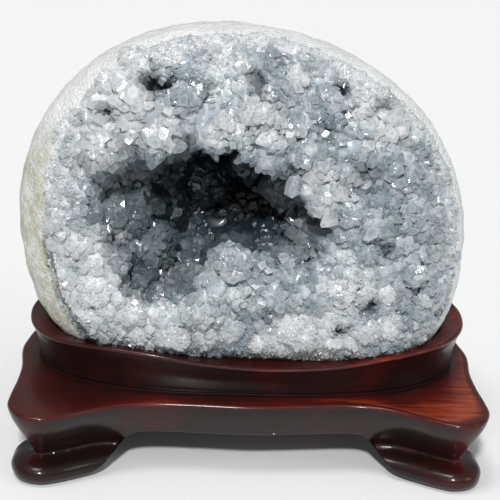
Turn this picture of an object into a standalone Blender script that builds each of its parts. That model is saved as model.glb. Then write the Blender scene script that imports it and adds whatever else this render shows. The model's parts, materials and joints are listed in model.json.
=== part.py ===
"""Celestite geode standing in a carved hardwood stand.

Three pieces: the stand, carved from one block; the rock of the geode, an egg-shaped nodule that is
opened at the front; and the crust of grown-together crystals that lines its face and its hollow.
Lengths are in millimetres until a mesh is made. X runs to the right, Y to the back, Z up, and the
origin is on the floor under the middle of the stand.
"""
import math
import random

import bpy
import bmesh
import numpy as np
from mathutils import Matrix, Vector, noise
from mathutils.bvhtree import BVHTree

MM = 0.001
GAP = 0.35                      # air left between pieces that touch

# Stand: lobed slab on four bun feet
SLAB_TOP = 42.6
SLAB_HALF = (                   # slab's edge from the middle of the back, round the right, to the front
    (0.0, 61.0), (30.0, 59.0), (50.0, 57.5), (64.0, 60.0), (77.0, 67.5), (89.0, 77.5),
    (100.0, 82.5), (110.0, 79.5), (115.0, 69.5), (114.6, 57.0), (113.5, 44.0), (115.0, 30.0),
    (119.5, 15.0), (122.6, 0.0), (122.0, -20.0), (123.6, -38.0), (126.2, -54.0), (127.0, -67.0),
    (121.5, -78.5), (110.0, -82.5), (98.0, -78.0), (82.0, -67.0), (68.0, -59.2), (52.0, -56.6),
    (30.0, -58.0), (0.0, -60.0),
)
SLAB_SIDE = (                   # height, and how far the side stands in from the slab's edge
    (0.0, 9.5), (0.9, 6.2), (3.5, 3.6), (6.8, 3.0), (10.0, 4.8), (12.8, 9.0), (16.5, 9.4),
    (27.0, 5.0), (40.6, 0.0), (42.1, 0.6), (SLAB_TOP, 2.0),
)
ARCH_TOP = 22.5
BACK_ARCH_SHARE = 0.905         # width of the arch between the back feet beside the front one
FRONT_ARCH = ((60.0, ARCH_TOP), (70.0, 18.0), (77.0, 11.0), (82.0, 5.5), (90.0, 1.6), (99.0, 0.0))
SIDE_ARCH = ((36.0, ARCH_TOP), (43.0, 18.0), (48.0, 11.0), (52.0, 5.5), (57.0, 1.6), (63.0, 0.0))

# Stand: collar that holds the stone
COLLAR_HALF_WIDTH = 113.2
COLLAR_HALF_DEPTH = 51.6
COLLAR_SQUARENESS = (3.1, 2.2)  # along X and Y, where 2 would be an ellipse
COLLAR_POINTS = 60
COLLAR_SIDE = (                 # share of the rim's height, and how far the side stands out
    (-0.12, -1.0), (0.0, 1.3), (0.08, 1.0), (0.13, 0.0), (0.5, 1.2), (0.92, 4.6), (1.0, 3.4),
    (1.03, 1.4), (1.0, -5.0),
)
RIM_X = (-118.0, -79.0, -53.0, -27.0, 5.0, 27.0, 48.0, 70.0, 92.0, 106.0, 118.0)
RIM_HEIGHT = (20.5, 22.0, 21.6, 18.9, 17.4, 17.8, 19.2, 22.0, 23.4, 23.8, 23.6)

# Stone: its own frame lies in the opened face, leaning back
STONE_CENTRE = (-4.7, 5.0, 109.6)
STONE_LEAN = math.radians(12.0)
STONE_HALF_DEPTH = 58.0
STONE_SQUARENESS = 2.4
STONE_RADII = (119.6, 120.4, 115.2, 116.0, 123.6, 125.6, 119.4, 110.0, 80.0, 67.0, 80.0, 116.0)
STONE_LUMPS = 1.6               # low swellings of the outer skin
ROUND = 48                      # points in a ring round the stone

# Opened face: the crust's edge, as a share of the stone's outline, and the mouth of the hollow
CRUST_EDGE = (0.92, 0.95, 0.975, 0.98, 0.96, 0.88, 0.83, 0.84, 0.82, 0.82, 0.82, 0.86)
MOUTH_CENTRE = (-17.3, 20.9)
MOUTH_RADII = (57.0, 46.0, 38.0, 34.0, 43.0, 54.0, 64.0, 60.0, 57.0, 38.0, 41.0, 58.0)
DEEP_CENTRE = (-8.0, 24.0)
CRUST_THICKNESS = 7.5
LIP_THICKNESS = 4.5             # of the crust just inside the mouth
FACE_SHARES = (0.0, 0.16, 0.34, 0.52, 0.7, 0.86, 0.965)  # rings of the crust's front, from the mouth out
BED_SHARES = (0.985, 0.66, 0.33)
BED_EDGE_PULL = 0.06            # how far the crust's back is drawn in at its edge, off the rock's skin
BED_DROP = 2.0                  # how much deeper each ring of the bed lies than the crust's front
BED_GAP = 0.5
LIP_BEVEL = 3.0                 # rounding of the crust at the mouth
FRONT_BEVEL = 1.2               # how far the crust's front lies under the nodule's full form
CRUST_LUMPS = 3.2
CRUST_FACETS = 2.1              # how far neighbouring crystal heads stand above each other
KNOLL_SIZE = 19.0
SMALL_KNOLL_SIZE = 9.0
HEAD_SIZE = 4.3
DIP = -0.15                     # deepest dip between knolls, as a share of their height
HEAD_DIP = 0.25
COLLAR_FADE = 12.0              # height over which the crust's relief dies away towards the collar
EDGE_FADE = 0.3                 # share of the face over which it dies away towards the crust's edge
EDGE_FADE_END = 1.06
HOLLOW_DEPTHS = (38.0, 20.0, 2.0, -16.0, -27.0)
HOLLOW_SPREAD = {               # radius at each depth as a share of the mouth, every 90 degrees
    38.0: (1.02, 1.04, 1.0, 1.02),
    20.0: (0.90, 1.18, 0.86, 1.05),
    2.0: (0.68, 1.15, 0.62, 0.95),
    -16.0: (0.48, 0.90, 0.42, 0.72),
    -27.0: (0.22, 0.42, 0.20, 0.36),
}
HOLLOW_END = -31.0
HOLLOW_ROOM = {38.0: 1.1, 20.0: 1.2, 2.0: 1.15, -16.0: 0.9, -27.0: 0.5}  # for relief, at each depth
FRONT_LIFT = 1.0                # of the hollow's front rings and floor, off their depths

# Crystals of the crust
CRYSTAL_SEED = 9
FACE_CRYSTALS = 40
HOLLOW_CRYSTALS = 25
CRYSTAL_SIDES = (4, 6)
CRYSTAL_FOOT = 0.46             # radius at the foot and at the head, as shares of the width
CRYSTAL_HEAD = 0.56
CRYSTAL_SHAFT = 0.7             # share of the length that is shaft; the rest is the blunt end
CRYSTAL_END = (0.6, 0.3, 1.0)   # size of the end face beside the shaft
CRYSTAL_LEAN = 0.32
CRYSTAL_HEIGHTS = (0.55, 0.85)  # how far a crystal stands out, as a share of its width
CRYSTAL_SPACING = 0.5           # least distance between two crystals beside the sum of their widths
CRYSTAL_TRIES = 30
FOOT_POINTS = 8                 # points round a crystal's foot that are tested against the bed
CRYSTAL_ROOT = 2.6              # how deep a crystal stands in the crust
ROOT_CLEARANCE = 0.8            # least distance from a crystal's foot to the bed
FACE_CRYSTAL_SIZES = (7.0, 12.0)
HOLLOW_CRYSTAL_SIZES = (9.0, 15.0)
LOWEST_CRYSTAL = 76.0           # above the collar's rim

COLOURS = {                     # colour and roughness
    "stand": ((0.09, 0.012, 0.008, 1.0), 0.22),
    "geode_rock": ((0.56, 0.56, 0.53, 1.0), 0.9),
    "crystal_crust": ((0.52, 0.60, 0.66, 1.0), 0.25),
}


def catmull(p0, p1, p2, p3, t):
    """Point at share t of the span from p1 to p2 of a smooth curve."""
    return 0.5 * (2 * p1 + (p2 - p0) * t + (2 * p0 - 5 * p1 + 4 * p2 - p3) * t * t
                  + (3 * p1 - p0 - 3 * p2 + p3) * t ** 3)


def clamp(value):
    return min(max(value, 0.0), 1.0)


def around(values, angle):
    """Smooth value at an angle, from values spaced evenly round a full turn."""
    n = len(values)
    place = (angle / math.tau % 1.0) * n
    i = int(place) % n
    return catmull(values[i - 1], values[i], values[(i + 1) % n], values[(i + 2) % n], place - int(place))


def mesh_object(name, points, faces, collection):
    """Object from points in millimetres, with doubled points merged and faces turned outwards."""
    mesh = bpy.data.meshes.new(name)
    mesh.from_pydata([Vector(p) * MM for p in points], [], faces)
    bm = bmesh.new()
    bm.from_mesh(mesh)
    bmesh.ops.remove_doubles(bm, verts=bm.verts, dist=0.00001)
    bmesh.ops.recalc_face_normals(bm, faces=bm.faces)
    bm.to_mesh(mesh)
    bm.free()
    obj = bpy.data.objects.new(name, mesh)
    collection.objects.link(obj)
    return obj


def loft(rings, first_point=None, last_point=None):
    """Faces that join equal rings in turn, closed by a point or a flat face at each end."""
    count = len(rings[0])
    points = [p for ring in rings for p in ring]
    faces = []
    for r in range(len(rings) - 1):
        for i in range(count):
            j = (i + 1) % count
            near, far = r * count, (r + 1) * count
            faces.append((near + i, near + j, far + j))
            faces.append((near + i, far + j, far + i))
    for end_point, start in ((first_point, 0), (last_point, (len(rings) - 1) * count)):
        if end_point is None:
            faces.append(tuple(range(start, start + count)))
            continue
        points.append(end_point)
        for i in range(count):
            faces.append((start + i, start + (i + 1) % count, len(points) - 1))
    return points, faces


def hide_as_cutter(obj):
    obj.hide_render = True
    obj.display_type = "WIRE"


def boolean(obj, cutter, operation, use_self=False):
    """Cut obj with cutter, or join them, and keep the result as a plain mesh."""
    modifier = obj.modifiers.new(operation.title(), "BOOLEAN")
    modifier.operation = operation
    modifier.object = cutter
    modifier.solver = "EXACT"
    modifier.use_self = use_self
    depsgraph = bpy.context.evaluated_depsgraph_get()
    mesh = bpy.data.meshes.new_from_object(obj.evaluated_get(depsgraph))
    obj.modifiers.remove(modifier)
    obj.data = mesh


def finish(obj):
    """Material from the table of colours, and smooth shading between sharp edges."""
    colour, roughness = COLOURS[obj.name]
    material = bpy.data.materials.new(obj.name)
    material.use_nodes = True
    shader = material.node_tree.nodes["Principled BSDF"]
    shader.inputs["Base Color"].default_value = colour
    shader.inputs["Roughness"].default_value = roughness
    shader.inputs["Metallic"].default_value = 0.0
    obj.data.materials.clear()
    obj.data.materials.append(material)
    obj.data.shade_smooth()
    obj.data.set_sharp_from_angle(angle=math.radians(32))


# Stand

def slab_edge():
    """Closed edge of the slab: its right half and the mirror of that, as a smooth curve."""
    knots = [Vector(p) for p in SLAB_HALF]
    knots += [Vector((-x, y)) for x, y in reversed(SLAB_HALF[1:-1])]
    n = len(knots)
    edge = []
    for i in range(n):
        for t in (0.0, 0.5):
            edge.append(catmull(knots[i - 1], knots[i], knots[(i + 1) % n], knots[(i + 2) % n], t))
    return edge


def inset(edge, distance):
    """The edge moved inwards by a distance, along its own normals."""
    n = len(edge)
    moved = []
    for i, point in enumerate(edge):
        along = (edge[(i + 1) % n] - edge[i - 1]).normalized()
        inward = Vector((-along.y, along.x))
        if inward.dot(point) > 0:
            inward.negate()
        moved.append(point + inward * distance)
    return moved


def arch_cutter(name, profile, axis, collection):
    """Prism under the stand, with the arch's profile, running along Y or X."""
    right = list(profile) + [(profile[-1][0], -5.0)]
    outline = [(-w, z) for w, z in reversed(right)] + right
    reach = 150.0
    if axis == "Y":
        depth = max(y for _, y in SLAB_HALF)
        middle = (1.0 + BACK_ARCH_SHARE) / 2
        slope = (BACK_ARCH_SHARE - 1.0) / (2 * depth)
        ends = [[(w * (middle + slope * y), y, z) for w, z in outline] for y in (-reach, reach)]
    else:
        ends = [[(x, w, z) for w, z in outline] for x in (-reach, reach)]
    cutter = mesh_object(name, *loft(ends), collection)
    hide_as_cutter(cutter)
    return cutter


def rim_height(x):
    """Height of the collar's rim above the slab, smooth along its length."""
    i = min(max(int(np.searchsorted(RIM_X, x)) - 1, 0), len(RIM_X) - 2)
    t = clamp((x - RIM_X[i]) / (RIM_X[i + 1] - RIM_X[i]))
    before = RIM_HEIGHT[max(i - 1, 0)]
    after = RIM_HEIGHT[min(i + 2, len(RIM_X) - 1)]
    return catmull(before, RIM_HEIGHT[i], RIM_HEIGHT[i + 1], after, t)


def collar_ring(share, stand_out):
    power_x, power_y = (2.0 / squareness for squareness in COLLAR_SQUARENESS)
    ring = []
    for i in range(COLLAR_POINTS):
        angle = math.tau * i / COLLAR_POINTS
        c, s = math.cos(angle), math.sin(angle)
        x = (COLLAR_HALF_WIDTH + stand_out) * math.copysign(abs(c) ** power_x, c)
        y = (COLLAR_HALF_DEPTH + stand_out) * math.copysign(abs(s) ** power_y, s)
        ring.append((x, y, SLAB_TOP + share * rim_height(x)))
    return ring


def build_stand(model, cutters):
    edge = slab_edge()
    slab_rings = [[(p.x, p.y, z) for p in inset(edge, distance)] for z, distance in SLAB_SIDE]
    stand = mesh_object("stand", *loft(slab_rings), model)
    boolean(stand, arch_cutter("front_arch", FRONT_ARCH, "Y", cutters), "DIFFERENCE")
    boolean(stand, arch_cutter("side_arch", SIDE_ARCH, "X", cutters), "DIFFERENCE")

    collar_rings = [collar_ring(share, out) for share, out in COLLAR_SIDE]
    middle = (0.0, 0.0, SLAB_TOP + min(RIM_HEIGHT))
    collar = mesh_object("collar", *loft(collar_rings, last_point=middle), cutters)
    hide_as_cutter(collar)
    boolean(stand, collar, "UNION")

    seat = mesh_object("seat", *loft(*stone_form_rings(GAP)), cutters)
    hide_as_cutter(seat)
    boolean(stand, seat, "DIFFERENCE")
    return stand


# Stone

FACE_UP = Vector((0.0, math.sin(STONE_LEAN), math.cos(STONE_LEAN)))
FACE_OUT = Vector((0.0, -math.cos(STONE_LEAN), math.sin(STONE_LEAN)))


def place(a, b, c):
    """World point from the stone's own frame: a to the right, b up the face, c out of it."""
    return Vector(STONE_CENTRE) + Vector((a, 0.0, 0.0)) + FACE_UP * b + FACE_OUT * c


def swell(theta, lift):
    """Low swellings of the skin, the same for the stone and for the seat cut to fit it."""
    spot = Vector((math.cos(theta) * 1.7, math.sin(theta) * 1.7, lift * 1.3 + 4.0))
    return STONE_LUMPS * noise.noise(spot)


def form_point(theta, psi, grow=0.0):
    """Point of the whole nodule's skin; psi runs from -90 degrees at the back to +90 in front."""
    power = 2.0 / STONE_SQUARENESS
    radius = around(STONE_RADII, theta) + swell(theta, math.sin(psi)) + grow
    rho = abs(math.cos(psi)) ** power * radius
    c = math.copysign(abs(math.sin(psi)) ** power, psi) * (STONE_HALF_DEPTH + grow)
    return place(rho * math.cos(theta), rho * math.sin(theta), c)


def form_depth(a, b):
    """How far the nodule's front stands out at a place on the face."""
    theta = math.atan2(b, a)
    share = min(math.hypot(a, b) / (around(STONE_RADII, theta) + swell(theta, 0.7)), 0.995)
    return STONE_HALF_DEPTH * (1.0 - share ** STONE_SQUARENESS) ** (1.0 / STONE_SQUARENESS)


def ring_angles(shift=0.0):
    return [math.tau * (i + shift) / ROUND for i in range(ROUND)]


def rim_psi(theta):
    """Angle psi at which the skin ends and the crust begins."""
    share = around(CRUST_EDGE, theta)
    return math.acos(share ** (STONE_SQUARENESS / 2.0))


def skin_psis():
    return [math.radians(d) for d in (-74, -58, -42, -27, -13, 0)]


def stone_form_rings(grow):
    """Rings of the whole nodule, back to front, grown a little, for the seat in the collar."""
    angles = ring_angles()
    rings = [[form_point(t, psi, grow) for t in angles] for psi in skin_psis()]
    for share in (0.5, 1.0):
        rings.append([form_point(t, rim_psi(t) * share, grow) for t in angles])
    for share in (0.35, 0.7):
        psis = [rim_psi(t) + (math.pi / 2 - rim_psi(t)) * share for t in angles]
        rings.append([form_point(t, psi, grow) for t, psi in zip(angles, psis)])
    back = place(0.0, 0.0, -STONE_HALF_DEPTH - grow)
    front = place(0.0, 0.0, STONE_HALF_DEPTH + grow)
    return rings, back, front


def face_place(theta, share):
    """Place on the face, from the mouth of the hollow (0) to the crust's outer edge (1)."""
    outer = around(STONE_RADII, theta) * around(CRUST_EDGE, theta)
    mouth = around(MOUTH_RADII, theta)
    radius = mouth + (outer - mouth) * share
    a = MOUTH_CENTRE[0] * (1.0 - share) + radius * math.cos(theta)
    b = MOUTH_CENTRE[1] * (1.0 - share) + radius * math.sin(theta)
    return a, b


def hollow_place(theta, depth, wall):
    """Place on the hollow's side at a depth, with a wall's thickness added outwards."""
    share = (HOLLOW_DEPTHS[0] - depth) / (HOLLOW_DEPTHS[0] - HOLLOW_END)
    radius = around(MOUTH_RADII, theta) * around(HOLLOW_SPREAD[depth], theta) + wall
    a = MOUTH_CENTRE[0] + (DEEP_CENTRE[0] - MOUTH_CENTRE[0]) * share + radius * math.cos(theta)
    b = MOUTH_CENTRE[1] + (DEEP_CENTRE[1] - MOUTH_CENTRE[1]) * share + radius * math.sin(theta)
    return a, b


def bed_rings(lift):
    """Rings of the bed that the crust grew on, from its outer edge to the hollow's end."""
    rings = []
    for share in BED_SHARES:
        ring = []
        for t in ring_angles():
            a, b = face_place(t, share)
            ring.append(place(a, b, form_depth(a, b) - CRUST_THICKNESS + lift))
        rings.append(ring)
    for depth in HOLLOW_DEPTHS:
        wall = (LIP_THICKNESS if depth == HOLLOW_DEPTHS[0] else CRUST_THICKNESS) - lift
        ring = [place(*hollow_place(t, depth, wall), depth - BED_DROP + lift) for t in ring_angles()]
        rings.append(ring)
    return rings, place(*DEEP_CENTRE, HOLLOW_END - CRUST_THICKNESS + lift)


def build_rock(model):
    angles = ring_angles()
    rings = [[form_point(t, psi) for t in angles] for psi in skin_psis()]
    for share in (0.5, 1.0):
        rings.append([form_point(t, rim_psi(t) * share) for t in angles])
    bed, end = bed_rings(0.0)
    back = place(0.0, 0.0, -STONE_HALF_DEPTH)
    return mesh_object("geode_rock", *loft(rings + bed, back, end), model)


def crust_lump(point, room):
    """Height of the crust's knolls and crystal heads at a point, held down where room is short."""
    knoll = noise.noise(point / KNOLL_SIZE) + 0.5 * noise.noise(point / SMALL_KNOLL_SIZE)
    head = abs(noise.cell(point / HEAD_SIZE))
    return CRUST_LUMPS * max(knoll, DIP) * room + CRUST_FACETS * (head - HEAD_DIP) * room ** 3


def crust_front_rings():
    """Front of the crust, from the hollow's end out to the crust's edge."""
    rings = []
    for depth in reversed(HOLLOW_DEPTHS):
        ring = []
        for t in ring_angles(0.5 * (len(rings) % 2)):
            inner = Vector(hollow_place(t, depth, 0.0))
            spot = place(inner.x, inner.y, depth)
            lump = crust_lump(spot, HOLLOW_ROOM[depth])
            a, b = inner.x - lump * math.cos(t), inner.y - lump * math.sin(t)
            ring.append(place(a, b, depth + FRONT_LIFT))
        rings.append(ring)
    for share in FACE_SHARES:
        ring = []
        for t in ring_angles(0.5 * (len(rings) % 2)):
            a, b = face_place(t, share)
            flat = place(a, b, form_depth(a, b))
            room = clamp((flat.z - LOWEST_CRYSTAL) / COLLAR_FADE + 0.5)
            room *= clamp((EDGE_FADE_END - share) / EDGE_FADE)
            bevel = LIP_BEVEL * clamp(1.0 - share / FACE_SHARES[1]) + FRONT_BEVEL
            ring.append(place(a, b, form_depth(a, b) - bevel + crust_lump(flat, room)))
        rings.append(ring)
    return rings


def crystal(bm, sides, width, length, pose):
    """Stout prism with a blunt, flat-faced end, standing on the crust at a pose."""
    shaft_length = length * CRYSTAL_SHAFT
    made = bmesh.ops.create_cone(bm, segments=sides, cap_ends=True, radius1=width * CRYSTAL_FOOT,
                                 radius2=width * CRYSTAL_HEAD, depth=shaft_length)
    shaft = made["verts"]
    bmesh.ops.translate(bm, verts=shaft, vec=(0.0, 0.0, shaft_length / 2))
    faces = {face for vert in shaft for face in vert.link_faces}
    top = max(faces, key=lambda face: face.calc_center_median().z)
    tip = bmesh.ops.extrude_discrete_faces(bm, faces=[top])["faces"][0].verts[:]
    bmesh.ops.translate(bm, verts=tip, vec=(0.0, 0.0, length - shaft_length))
    bmesh.ops.scale(bm, vec=CRYSTAL_END, verts=tip)
    bmesh.ops.transform(bm, matrix=pose, verts=shaft + tip)


def spot_on(rings, row, column):
    """Point and outward direction at a place on the grid of rings."""
    r, i = int(row), int(column)
    u, v = row - r, column - i
    j = (i + 1) % ROUND
    a, b, c, d = rings[r][i], rings[r][j], rings[r + 1][i], rings[r + 1][j]
    point = a.lerp(b, v).lerp(c.lerp(d, v), u)
    out = (c.lerp(d, 0.5) - a.lerp(b, 0.5)).cross(b.lerp(d, 0.5) - a.lerp(c, 0.5)).normalized()
    return point, out


def clear_of_bed(bed_tree, pose, width, out):
    """Whether the foot of a crystal stays in the crust, in front of the bed."""
    for i in range(FOOT_POINTS):
        turned = pose @ Matrix.Rotation(math.tau * i / FOOT_POINTS, 4, "Z")
        corner = turned @ Vector((CRYSTAL_FOOT * width, 0.0, 0.0))
        near, _, _, distance = bed_tree.find_nearest(corner)
        if distance < ROOT_CLEARANCE or (corner - near).dot(out) < 0.0:
            return False
    return True


def grow_crystals(rings, bed, cutters):
    """Crystals strewn over the crust's front, larger inside the hollow."""
    draw = random.Random(CRYSTAL_SEED)
    first_face_row = len(HOLLOW_DEPTHS)
    bed_tree = BVHTree.FromPolygons(*loft(bed))
    bm = bmesh.new()
    grown = []
    for wanted, low, high, sizes in (
        (HOLLOW_CRYSTALS, 0.2, first_face_row - 0.2, HOLLOW_CRYSTAL_SIZES),
        (FACE_CRYSTALS, first_face_row, len(rings) - 2.6, FACE_CRYSTAL_SIZES),
    ):
        placed = 0
        for _ in range(wanted * CRYSTAL_TRIES):
            row, column = draw.uniform(low, high), draw.uniform(0, ROUND)
            width = draw.uniform(*sizes)
            lean = [draw.uniform(-CRYSTAL_LEAN, CRYSTAL_LEAN) for _ in range(3)]
            sides = draw.choice(CRYSTAL_SIDES)
            turn = draw.uniform(0.0, math.tau)
            point, out = spot_on(rings, row, column)
            crowded = any((point - spot).length < CRYSTAL_SPACING * (width + size) for spot, size in grown)
            out = (out + Vector(lean)).normalized()
            upright = out.to_track_quat("Z", "Y").to_matrix().to_4x4()
            pose = Matrix.Translation(point - out * CRYSTAL_ROOT) @ upright
            if placed >= wanted or crowded or point.z < LOWEST_CRYSTAL:
                continue
            if not clear_of_bed(bed_tree, pose, width, out):
                continue
            length = CRYSTAL_ROOT + width * draw.uniform(*CRYSTAL_HEIGHTS)
            crystal(bm, sides, width, length, pose @ Matrix.Rotation(turn, 4, "Z"))
            grown.append((point, width))
            placed += 1
    bmesh.ops.scale(bm, vec=(MM, MM, MM), verts=bm.verts)
    bmesh.ops.recalc_face_normals(bm, faces=bm.faces)
    mesh = bpy.data.meshes.new("crystals")
    bm.to_mesh(mesh)
    bm.free()
    crystals = bpy.data.objects.new("crystals", mesh)
    cutters.objects.link(crystals)
    hide_as_cutter(crystals)
    return crystals


def build_crust(model, cutters):
    rings = crust_front_rings()
    bed, end = bed_rings(BED_GAP)
    bed[0] = [outer.lerp(inner, BED_EDGE_PULL) for outer, inner in zip(bed[0], bed[1])]
    floor = place(*DEEP_CENTRE, HOLLOW_END + FRONT_LIFT)
    crust = mesh_object("crystal_crust", *loft(rings + bed, floor, end), model)
    boolean(crust, grow_crystals(rings, bed, cutters), "UNION", use_self=True)
    return crust


def main():
    for obj in list(bpy.data.objects):
        bpy.data.objects.remove(obj, do_unlink=True)
    scene = bpy.context.scene
    model = bpy.data.collections.new("celestite_geode")
    cutters = bpy.data.collections.new("cutters")
    scene.collection.children.link(model)
    scene.collection.children.link(cutters)
    finish(build_stand(model, cutters))
    finish(build_rock(model))
    finish(build_crust(model, cutters))


main()
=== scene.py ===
# Celestite geode on its carved stand: fine shapes, crystals, finishes, light and camera
import json
import math

import bmesh
import bpy
import numpy as np
from mathutils import Matrix, Vector, noise
from mathutils.bvhtree import BVHTree
from mathutils.kdtree import KDTree

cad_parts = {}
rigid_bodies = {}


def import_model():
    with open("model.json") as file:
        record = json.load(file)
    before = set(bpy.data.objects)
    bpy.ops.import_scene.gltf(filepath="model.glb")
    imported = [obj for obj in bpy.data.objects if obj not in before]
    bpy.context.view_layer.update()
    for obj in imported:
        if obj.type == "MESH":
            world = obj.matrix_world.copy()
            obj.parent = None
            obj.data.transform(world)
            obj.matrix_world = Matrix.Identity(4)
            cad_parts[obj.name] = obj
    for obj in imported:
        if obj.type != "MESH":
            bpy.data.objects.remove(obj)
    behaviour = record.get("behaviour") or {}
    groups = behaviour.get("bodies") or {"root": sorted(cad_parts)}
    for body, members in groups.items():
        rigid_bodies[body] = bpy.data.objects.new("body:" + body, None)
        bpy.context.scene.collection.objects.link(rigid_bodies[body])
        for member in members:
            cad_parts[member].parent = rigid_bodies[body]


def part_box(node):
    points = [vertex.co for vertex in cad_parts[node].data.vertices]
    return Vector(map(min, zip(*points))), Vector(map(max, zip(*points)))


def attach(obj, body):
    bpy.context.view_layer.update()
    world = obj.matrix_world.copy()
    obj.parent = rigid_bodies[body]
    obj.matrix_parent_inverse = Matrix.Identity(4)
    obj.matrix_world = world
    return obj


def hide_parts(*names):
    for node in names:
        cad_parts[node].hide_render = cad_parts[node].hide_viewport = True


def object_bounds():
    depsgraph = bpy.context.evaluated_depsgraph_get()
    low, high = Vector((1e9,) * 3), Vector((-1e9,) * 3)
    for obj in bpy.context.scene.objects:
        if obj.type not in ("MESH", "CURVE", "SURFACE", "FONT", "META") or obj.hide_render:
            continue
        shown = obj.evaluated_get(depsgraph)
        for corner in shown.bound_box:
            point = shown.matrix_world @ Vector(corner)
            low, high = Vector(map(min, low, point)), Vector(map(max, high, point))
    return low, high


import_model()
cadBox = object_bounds()
scene = bpy.context.scene
mm = 0.001


# Curves shared by the stone and the stand

def smooth(p0, p1, p2, p3, t):  # Catmull-Rom span from p1 to p2
    return 0.5 * (2 * p1 + (p2 - p0) * t + (2 * p0 - 5 * p1 + 4 * p2 - p3) * t * t
                  + (3 * p1 - p0 - 3 * p2 + p3) * t ** 3)


def around(values, angle):  # smooth value at an angle, from values spaced evenly round a turn
    n = len(values)
    place = (angle / math.tau % 1.0) * n
    i = int(place) % n
    return smooth(values[i - 1], values[i], values[(i + 1) % n], values[(i + 2) % n], place - int(place))


def along(knots, steps):  # points of a smooth open curve through the knots
    points = []
    last = len(knots) - 1
    for i in range(last):
        spans = [np.array(knots[min(max(k, 0), last)], float) for k in (i - 1, i, i + 1, i + 2)]
        points += [smooth(*spans, s / steps) for s in range(steps)]
    return points + [np.array(knots[-1], float)]


def clamp(value):
    return min(max(value, 0.0), 1.0)


def ease(value):
    t = clamp(value)
    return t * t * (3 - 2 * t)


def makeMesh(name, points, faces):
    mesh = bpy.data.meshes.new(name)
    mesh.from_pydata([Vector(p) * mm for p in points], [], faces)
    piece = bpy.data.objects.new(name, mesh)
    scene.collection.objects.link(piece)
    return piece


def markMesh(piece, marks):
    for name, values in marks.items():
        mark = piece.data.attributes.new(name, "FLOAT", "POINT")
        mark.data.foreach_set("value", values)


def loftFaces(ringCount, count, closeFirst=None, closeLast=None):
    faces = []
    for r in range(ringCount - 1):
        near, far = r * count, (r + 1) * count
        for i in range(count):
            j = (i + 1) % count
            faces.append((near + i, near + j, far + j, far + i))
    if closeFirst is not None:
        faces += [((i + 1) % count, i, closeFirst) for i in range(count)]
    if closeLast is not None:
        start = (ringCount - 1) * count
        faces += [(start + i, start + (i + 1) % count, closeLast) for i in range(count)]
    return faces


def turnOutwards(piece):
    shape = bmesh.new()
    shape.from_mesh(piece.data)
    bmesh.ops.remove_doubles(shape, verts=shape.verts, dist=0.000004)
    bmesh.ops.recalc_face_normals(shape, faces=shape.faces)
    shape.to_mesh(piece.data)
    shape.free()


# Stone: its own frame lies in the opened face, which leans back

stone = {
    "centre": (-4.7, 5.0, 109.6),
    "lean": math.radians(12.0),
    "halfDepth": 58.0,
    "squareness": 2.4,
    "radii": (119.6, 120.4, 115.2, 116.0, 123.6, 125.6, 119.4, 110.0, 80.0, 67.0, 80.0, 116.0),
    "lumps": 1.6,
    "crustEdge": (0.950, 0.962, 0.968, 0.966, 0.950, 0.905, 0.860, 0.865, 0.90, 0.93, 0.93, 0.945),
    "edgeWobble": 0.016,
    "skinRings": 112,
    "points": 540,
    "grain": 0.55,
}
faceUp = Vector((0.0, math.sin(stone["lean"]), math.cos(stone["lean"])))
faceOut = Vector((0.0, -math.cos(stone["lean"]), math.sin(stone["lean"])))
stoneCentre = Vector(stone["centre"])


def onStone(a, b, c):  # a to the right, b up the face, c out of it
    return stoneCentre + Vector((a, 0.0, 0.0)) + faceUp * b + faceOut * c


def toStone(point):
    away = Vector(point) - stoneCentre
    return away.x, away.dot(faceUp), away.dot(faceOut)


def swell(theta, lift):
    spot = Vector((math.cos(theta) * 1.7, math.sin(theta) * 1.7, lift * 1.3 + 4.0))
    return stone["lumps"] * noise.noise(spot)


def stoneRadius(theta, lift):
    return around(stone["radii"], theta) + swell(theta, lift)


def skinPoint(theta, psi, grow=0.0):
    power = 2.0 / stone["squareness"]
    radius = stoneRadius(theta, math.sin(psi)) + grow
    rho = abs(math.cos(psi)) ** power * radius
    c = math.copysign(abs(math.sin(psi)) ** power, psi) * (stone["halfDepth"] + grow)
    return onStone(rho * math.cos(theta), rho * math.sin(theta), c)


def frontDepth(a, b):  # how far the whole nodule's front stands out at a place
    share = min(math.hypot(a, b) / stoneRadius(math.atan2(b, a), 0.7), 0.995)
    square = stone["squareness"]
    return stone["halfDepth"] * (1.0 - share ** square) ** (1.0 / square)


def edgeShare(theta):  # where the crust's outer edge lies; ragged on the left
    left = ease((-math.cos(theta) - 0.1) / 0.6)
    wave = noise.noise(Vector((math.cos(theta) * 8.0, math.sin(theta) * 8.0, 3.3)))
    wave += 0.6 * noise.noise(Vector((math.cos(theta) * 23.0, math.sin(theta) * 23.0, 7.7)))
    return around(stone["crustEdge"], theta) + stone["edgeWobble"] * wave * (0.25 + 0.75 * left)


def rimPsi(theta):
    return math.acos(min(edgeShare(theta), 0.995) ** (stone["squareness"] / 2.0))


# Crust: its face, the mouth and the hollow behind it

crust = {
    "points": 400,
    "thickness": 12.0,
    "mouthCentre": (-17.3, 20.9),
    "mouth": (60, 50, 48, 52, 43, 37, 39, 37, 38, 34, 40, 46, 44, 45, 54, 61, 64, 66,
              65, 59, 60, 59, 63, 61, 57, 51, 44, 36, 32, 33, 36, 38, 45, 56, 61, 63),
    "deepCentre": (-8.0, 24.0),
    "depths": (38.0, 20.0, 2.0, -16.0, -27.0),
    "spread": ((1.02, 1.04, 1.0, 1.02), (0.90, 1.18, 0.86, 1.05), (0.68, 1.15, 0.62, 0.95),
               (0.48, 0.90, 0.42, 0.72), (0.22, 0.42, 0.20, 0.36)),
    "hollowEnd": -31.0,
    "lipBevel": 3.0,
    "frontBevel": 1.0,
    "faceRings": 60,
    "hollowRings": 52,
    "lowest": 58.5,
    "lumps": 4.6,
    "lumpSize": 15.0,
    "knolls": 1.6,
    "knollSize": 7.0,
    "grain": 0.35,
}

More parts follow.
